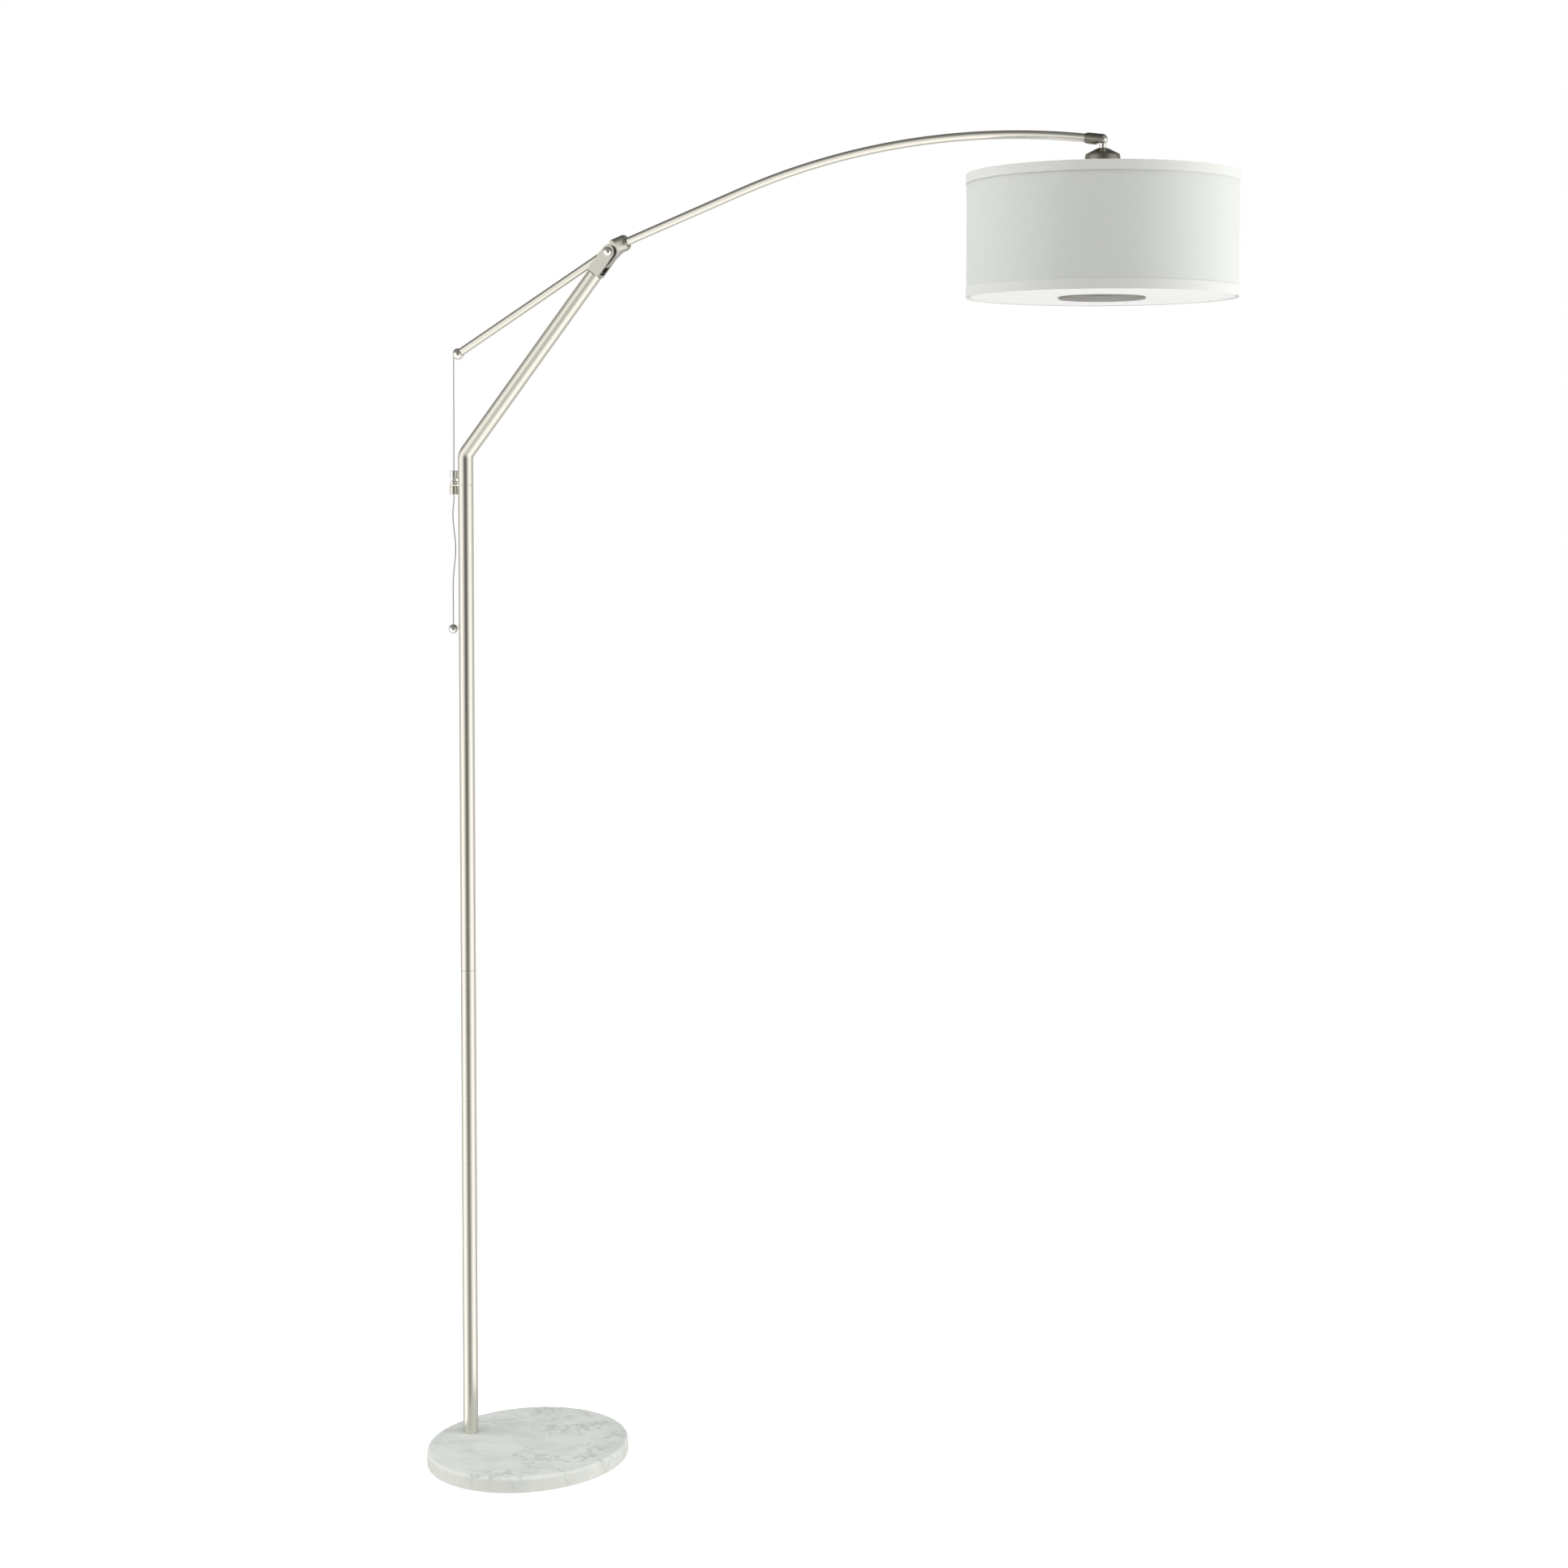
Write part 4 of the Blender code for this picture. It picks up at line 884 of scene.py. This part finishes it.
class LAMP_OT_clutch(bpy.types.Operator):
    """Bracket behind the pole, with the cable clutch and its plunger"""

    bl_idname = "lamp.clutch"
    bl_label = "Cable clutch"

    def execute(self, context):
        at = (CABLE_X, 0, 0)
        refined("clutch_bracket", "stand", "polished", width=0.00025)
        turned("clutch_body", self.body(context.scene.lamp_sizes.chamfer), at, "stand", "pole")
        foot, top = low("clutch_nut")[2], high("clutch_nut")[2]
        r, bore_r = 0.0059, 0.0042
        turned("clutch_nut", [
            (r - 0.0009, top), (r - 0.0003, top - 0.0004), (r, top - 0.0010), (r, foot + 0.0010),
            (r - 0.0003, foot + 0.0004), (r - 0.0009, foot), (bore_r, foot), (bore_r, top),
        ], at, "stand", "polished", smooth=50)
        turned("clutch_plunger", self.plunger(), at, "plunger", "polished", smooth=50)
        spring = refined("clutch_spring", "stand", "steel", width=0)
        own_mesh(spring)
        return {"FINISHED"}

    def body(self, edge):
        """Outline of the clutch's body, with a groove under its shoulder and a neck on top."""
        foot, shoulder, top = low("clutch_body")[2], 1.58435, 1.5900
        groove, step = 1.5835, 1.5785
        r, neck, hole, spring_room = 0.0070, 0.0038, 0.0018, 0.0025
        return [
            (neck, top), (neck, shoulder), (r - edge, shoulder), (r, shoulder - edge), (r, groove),
            (r - 0.0004, groove - 0.0003), (r - 0.0004, groove - 0.0008), (r, groove - 0.0011),
            (r, foot + edge), (r - edge, foot), (hole + 0.0004, foot), (hole, foot + 0.0004), (hole, step),
            (spring_room, step), (spring_room, top),
        ]

    def plunger(self):
        """Outline of the plunger: a rounded button on a thin stem."""
        foot, top, end = 1.5961, high("clutch_plunger")[2], low("clutch_plunger")[2]
        r, stem, hole = 0.0064, 0.0020, 0.0012
        return [
            (r - 0.0006, top), (r - 0.0002, top - 0.0002), (r, top - 0.0006), (r, foot + 0.0006),
            (r - 0.0002, foot + 0.0002), (r - 0.0006, foot), (stem, foot), (stem, end), (hole, end),
            (hole, top - 0.0003), (hole + 0.0004, top),
        ]


# Fork and arm ----------------------------------------------------------------------------------

class LAMP_OT_fork(bpy.types.Operator):
    """Fork on the bent tube, with its domed bolt, nut and washers"""

    bl_idname = "lamp.fork"
    bl_label = "Fork and pivot"

    def execute(self, context):
        refined("fork", "stand", "fitting")
        refined("fork_screw", "stand", "steel")
        face, shank = 0.0111, 0.0040
        head = self.dome(0.0077, 0.0062, face) + [(0.0075, face), (shank, face), (shank, -face - 0.004)]
        nut = self.dome(0.0068, 0.0068, face) + [(0.0043, face), (0.0043, face + 0.0045)]
        for node, rings, side in (("pivot_bolt", head, -1), ("pivot_nut", nut, 1)):
            out = Vector((0, side, 0))
            turned(node, rings, PIVOT, "stand", "polished", direction=out, smooth=45, closed=False)
        for node in ("friction_washer_near", "friction_washer_far"):
            refined(node, "stand", "nylon", width=0.0001)
        return {"FINISHED"}

    def dome(self, radius, rise, face):
        """Rings from the top of a dome down to the face that it stands on."""
        steps = [math.radians(a) for a in (86, 78, 70, 60, 50, 40, 30, 20, 10, 0)]
        return [(radius * math.cos(a), face + rise * math.sin(a)) for a in steps]


class LAMP_OT_arm(bpy.types.Operator):
    """Knuckle, arc tube with its end socket, rear tube and rear ball"""

    bl_idname = "lamp.arm"
    bl_label = "Arm"

    def execute(self, context):
        refined("knuckle", "arm", "fitting", width=0.0003)
        for node in ("set_screw_rear", "set_screw_front"):
            refined(node, "arm", "steel", width=0.0001)
        hub_to_arc, into_socket = 0.0263, 0.0095
        start = HUB + ARM_DIR * hub_to_arc
        sweep = ARM_RISE + ARC_END + into_socket / ARC_R
        runs = [("straight", (ARC_START - start).length), ("bend", ARC_CENTRE, sweep, 64)]
        pipe("arc_tube", "arm", "arc", start, ARM_DIR, runs, ARM_R, ARM_WALL)
        hub_to_rear, short_of_ball = 0.0305, 0.0078
        start = HUB + REAR_DIR * hub_to_rear
        reach = (REAR_BALL - start).length - short_of_ball
        pipe("rear_tube", "arm", "rear", start, REAR_DIR, [("straight", reach)], ARM_R, ARM_WALL)
        ball_r, flat, play = 0.0093, 0.0066, 0.0001
        knob("rear_ball", "arm", REAR_BALL, ball_r, -REAR_DIR, flat, ARM_R + play)
        refined("end_socket", "arm", "socket", width=0.00025)
        return {"FINISHED"}


# Shade -----------------------------------------------------------------------------------------

WEAVE_R = 0.199


class LAMP_OT_swivel(bpy.types.Operator):
    """Swivel ball and neck, and the dark cap over the shade"""

    bl_idname = "lamp.swivel"
    bl_label = "Swivel and cap"

    def execute(self, context):
        turned("swivel_ball", self.ball_and_neck(), SWIVEL, "swivel", "polished", smooth=45, closed=False)
        refined("neck_nut", "swivel", "steel")
        turned("dome_cap", self.cap(), SHADE_AXIS, "shade", "cap", segments=96, smooth=38)
        return {"FINISHED"}

    def ball_and_neck(self):
        """Outline of the ball, round to where its neck begins, then the neck with a step in the cap."""
        r, neck, stem, steps = 0.0076, 0.0052, 0.0045, 22
        foot = low("swivel_ball")[2] - SWIVEL.z
        cap_top = high("dome_cap")[2] - SWIVEL.z
        last = math.pi - math.asin(neck / r)
        turns = [last * i / steps for i in range(1, steps + 1)]
        return [(r * math.sin(a), r * math.cos(a)) for a in turns] + [
            (neck, -math.sqrt(r * r - neck * neck) - 0.0004), (neck, cap_top + 0.0008),
            (neck - 0.0004, cap_top + 0.0003), (stem, cap_top + 0.0003), (stem, foot),
        ]

    def cap(self):
        """Outline of the cap: a sloping top, a rounded shoulder, a skirt and a boss inside."""
        top, shoulder, rim, foot = high("dome_cap")[2], 2.0690, 2.0505, low("dome_cap")[2]
        wall, hole, boss, boss_in = 0.0012, 0.0048, 0.0115, 0.0093
        return [
            (hole, top), (0.0066, top), (0.0074, top - 0.0001), (0.0100, top - 0.0009),
            (0.0235, shoulder + 0.0006), (0.0247, shoulder - 0.0001), (0.0253, shoulder - 0.0012),
            (0.0260, shoulder - 0.0050), (0.0262, rim + 0.0004), (0.0260, rim), (0.0262 - wall, rim),
            (0.0260 - wall, shoulder - 0.0050), (0.0230, shoulder - 0.0018), (boss, shoulder - 0.0010),
            (boss, foot), (boss_in, foot), (boss_in, shoulder - 0.0030), (hole, shoulder - 0.0030),
        ]


def wrap_map(piece):
    """UV map called weave: metres round the shade, and metres up."""
    mesh = piece.data
    layer = mesh.uv_layers.get("weave") or mesh.uv_layers.new(name="weave")
    for face in mesh.polygons:
        places = [mesh.vertices[i].co - SHADE_AXIS for i in face.vertices]
        angles = [math.atan2(co.y, co.x) for co in places]
        if max(angles) - min(angles) > math.pi:
            angles = [a + 2 * math.pi if a < 0 else a for a in angles]
        for loop, a, co in zip(face.loop_indices, angles, places):
            layer.data[loop].uv = (a * WEAVE_R, co.z + WEAVE_R - math.hypot(co.x, co.y))


def wrapped(node, rings, smooth, key):
    """A finished band of cloth round the shade."""
    piece = aim(stack(node + "_piece", rings, 256, True), SHADE_AXIS)
    wrap_map(piece)
    return finish(soften(piece, 0, smooth=smooth), node, "shade", key)


class LAMP_OT_shade(bpy.types.Operator):
    """Drum of linen on wire rings, with a tape round each rim"""

    bl_idname = "lamp.shade"
    bl_label = "Shade"

    def execute(self, context):
        thick = context.scene.lamp_sizes.cloth_thick
        outer = radius_of("shade_drum")
        a, b = low("shade_drum")[2], high("shade_drum")[2]
        steps, facing_in = 12, 0.05
        up = [(outer, a + (b - a) * i / steps) for i in range(steps + 1)]
        down = [(outer - thick, z) for _, z in reversed(up)]
        drum = wrapped("shade_drum", up + down, 40, "linen")
        drum.data.materials.append(material("lining"))
        for face in drum.data.polygons:
            to_axis = Vector((SHADE_AXIS.x - face.center.x, -face.center.y, 0))
            if face.normal.dot(to_axis) > facing_in:
                face.material_index = 1
        trims = [self.tape(node) for node in ("shade_trim_bottom", "shade_trim_top")]
        for node in ("rim_ring_top", "rim_ring_bottom", "shade_spider"):
            refined(node, "shade", "enamel", width=0)
        refined("spider_nut", "shade", "steel")
        return {"FINISHED"}

    def tape(self, node):
        """Tape with rounded folds, stitched flat against the cloth."""
        outer = radius_of(node)
        a, b = low(node)[2], high(node)[2]
        thick, fold, sunk, stitch = 0.0008, 0.0004, 0.00012, 0.0035
        return wrapped(node, [
            (outer - fold, a), (outer - fold * 0.3, a + fold * 0.3), (outer, a + fold),
            (outer - sunk, a + stitch), (outer - sunk, b - stitch), (outer, b - fold),
            (outer - fold * 0.3, b - fold * 0.3), (outer - fold, b), (outer - thick, b), (outer - thick, a),
        ], 60, "trim")


class LAMP_OT_lamps(bpy.types.Operator):
    """Cluster body with two lamp holders and their bulbs"""

    bl_idname = "lamp.lamps"
    bl_label = "Lamp holders and bulbs"

    def execute(self, context):
        refined("cluster_body", "shade", "enamel", width=0.0004)
        for hand, side in (("left", -1), ("right", 1)):
            refined("lamp_holder_" + hand, "shade", "phenolic", width=0.0003)
            self.bulb("bulb_" + hand, side)
        return {"FINISHED"}

    def bulb(self, node, side):
        """Thin glass bulb that leans down and outwards from the cluster's middle."""
        droop = math.radians(15)
        cluster_z, glass, neck_z = 2.013, 0.001, 0.0335
        direction = Vector((side * math.cos(droop), 0, -math.sin(droop)))
        skin = [
            (0.0060, neck_z), (0.0110, 0.0348), (0.0130, 0.0370), (0.0132, 0.0640), (0.0150, 0.0700),
            (0.0180, 0.0765), (0.0215, 0.0850), (0.0245, 0.0920), (0.0270, 0.0980), (0.0288, 0.1050),
            (0.0295, 0.1120), (0.0293, 0.1190), (0.0280, 0.1260), (0.0255, 0.1325), (0.0220, 0.1370),
            (0.0172, 0.1413), (0.0120, 0.1440), (0.0060, 0.1456), (0.0015, 0.1460),
        ]
        lining = [(max(r - glass, 0.0005), z - 0.0006 if z > 0.09 else z) for r, z in reversed(skin)]
        rings = skin + lining[:-1] + [(0.0060 - glass, neck_z)]
        at = (SWIVEL.x, 0, cluster_z)
        turned(node, rings, at, "shade", "bulb", direction, 48, 50)


class LAMP_OT_diffuser(bpy.types.Operator):
    """Frosted disc with its centre rod, and the round metal disc under it"""

    bl_idname = "lamp.diffuser"
    bl_label = "Diffuser"

    def execute(self, context):
        outer = radius_of("diffuser")
        a, b = low("diffuser")[2], high("diffuser")[2]
        edge, hole = 0.0006, 0.0042
        turned("diffuser", [
            (hole, b), (outer - edge, b), (outer - edge * 0.3, b - edge * 0.3), (outer, b - edge),
            (outer, a + edge), (outer - edge * 0.3, a + edge * 0.3), (outer - edge, a), (hole, a),
        ], SHADE_AXIS, "shade", "diffuser", segments=192, smooth=50)
        gap = 0.0003
        r, top, hole = 0.064, a - gap, 0.0033
        turned("finial_disc", [
            (hole, top), (r - 0.001, top), (r - 0.0003, top - 0.0003), (r, top - 0.0009),
            (r, top - 0.0016), (r - 0.0004, top - 0.0023), (r - 0.0014, top - 0.0027), (0.030, top - 0.0040),
            (0.002, top - 0.0044),
        ], SHADE_AXIS, "shade", "disc", segments=128, smooth=30, closed=False)
        for node in ("centre_rod", "diffuser_nut"):
            refined(node, "shade", "steel")
        return {"FINISHED"}


class LAMP_PT_panel(bpy.types.Panel):
    """Lists the lamp's pieces in the sidebar"""

    bl_label = "Arc floor lamp"
    bl_idname = "LAMP_PT_panel"
    bl_space_type = "VIEW_3D"
    bl_region_type = "UI"
    bl_category = "Lamp"

    def draw(self, context):
        layout = self.layout
        for group in GROUPS:
            box = layout.box()
            settings = getattr(context.scene, group)
            for key in settings.__annotations__:
                box.prop(settings, key)
        for operator in OPERATORS:
            layout.operator(operator.bl_idname)


GROUPS = {"lamp_finishes": LampFinishes, "lamp_sizes": LampSizes, "lamp_stage": LampStage}
OPERATORS = (
    LAMP_OT_stage, LAMP_OT_cable, LAMP_OT_foot, LAMP_OT_pole, LAMP_OT_clutch, LAMP_OT_fork, LAMP_OT_arm,
    LAMP_OT_swivel, LAMP_OT_shade, LAMP_OT_lamps, LAMP_OT_diffuser,
)
CLASSES = (*GROUPS.values(), *OPERATORS, LAMP_PT_panel)


def register():
    for cls in CLASSES:
        bpy.utils.register_class(cls)
    for name, group in GROUPS.items():
        setattr(bpy.types.Scene, name, bpy.props.PointerProperty(type=group))


def unregister():
    for name in GROUPS:
        delattr(bpy.types.Scene, name)
    for cls in reversed(CLASSES):
        bpy.utils.unregister_class(cls)


def main():
    register()
    bpy.ops.lamp.stage()
    bpy.ops.lamp.cable()
    bpy.ops.lamp.foot()
    bpy.ops.lamp.pole()
    bpy.ops.lamp.clutch()
    bpy.ops.lamp.fork()
    bpy.ops.lamp.arm()
    bpy.ops.lamp.swivel()
    bpy.ops.lamp.shade()
    bpy.ops.lamp.lamps()
    bpy.ops.lamp.diffuser()


if __name__ == "__main__":
    main()
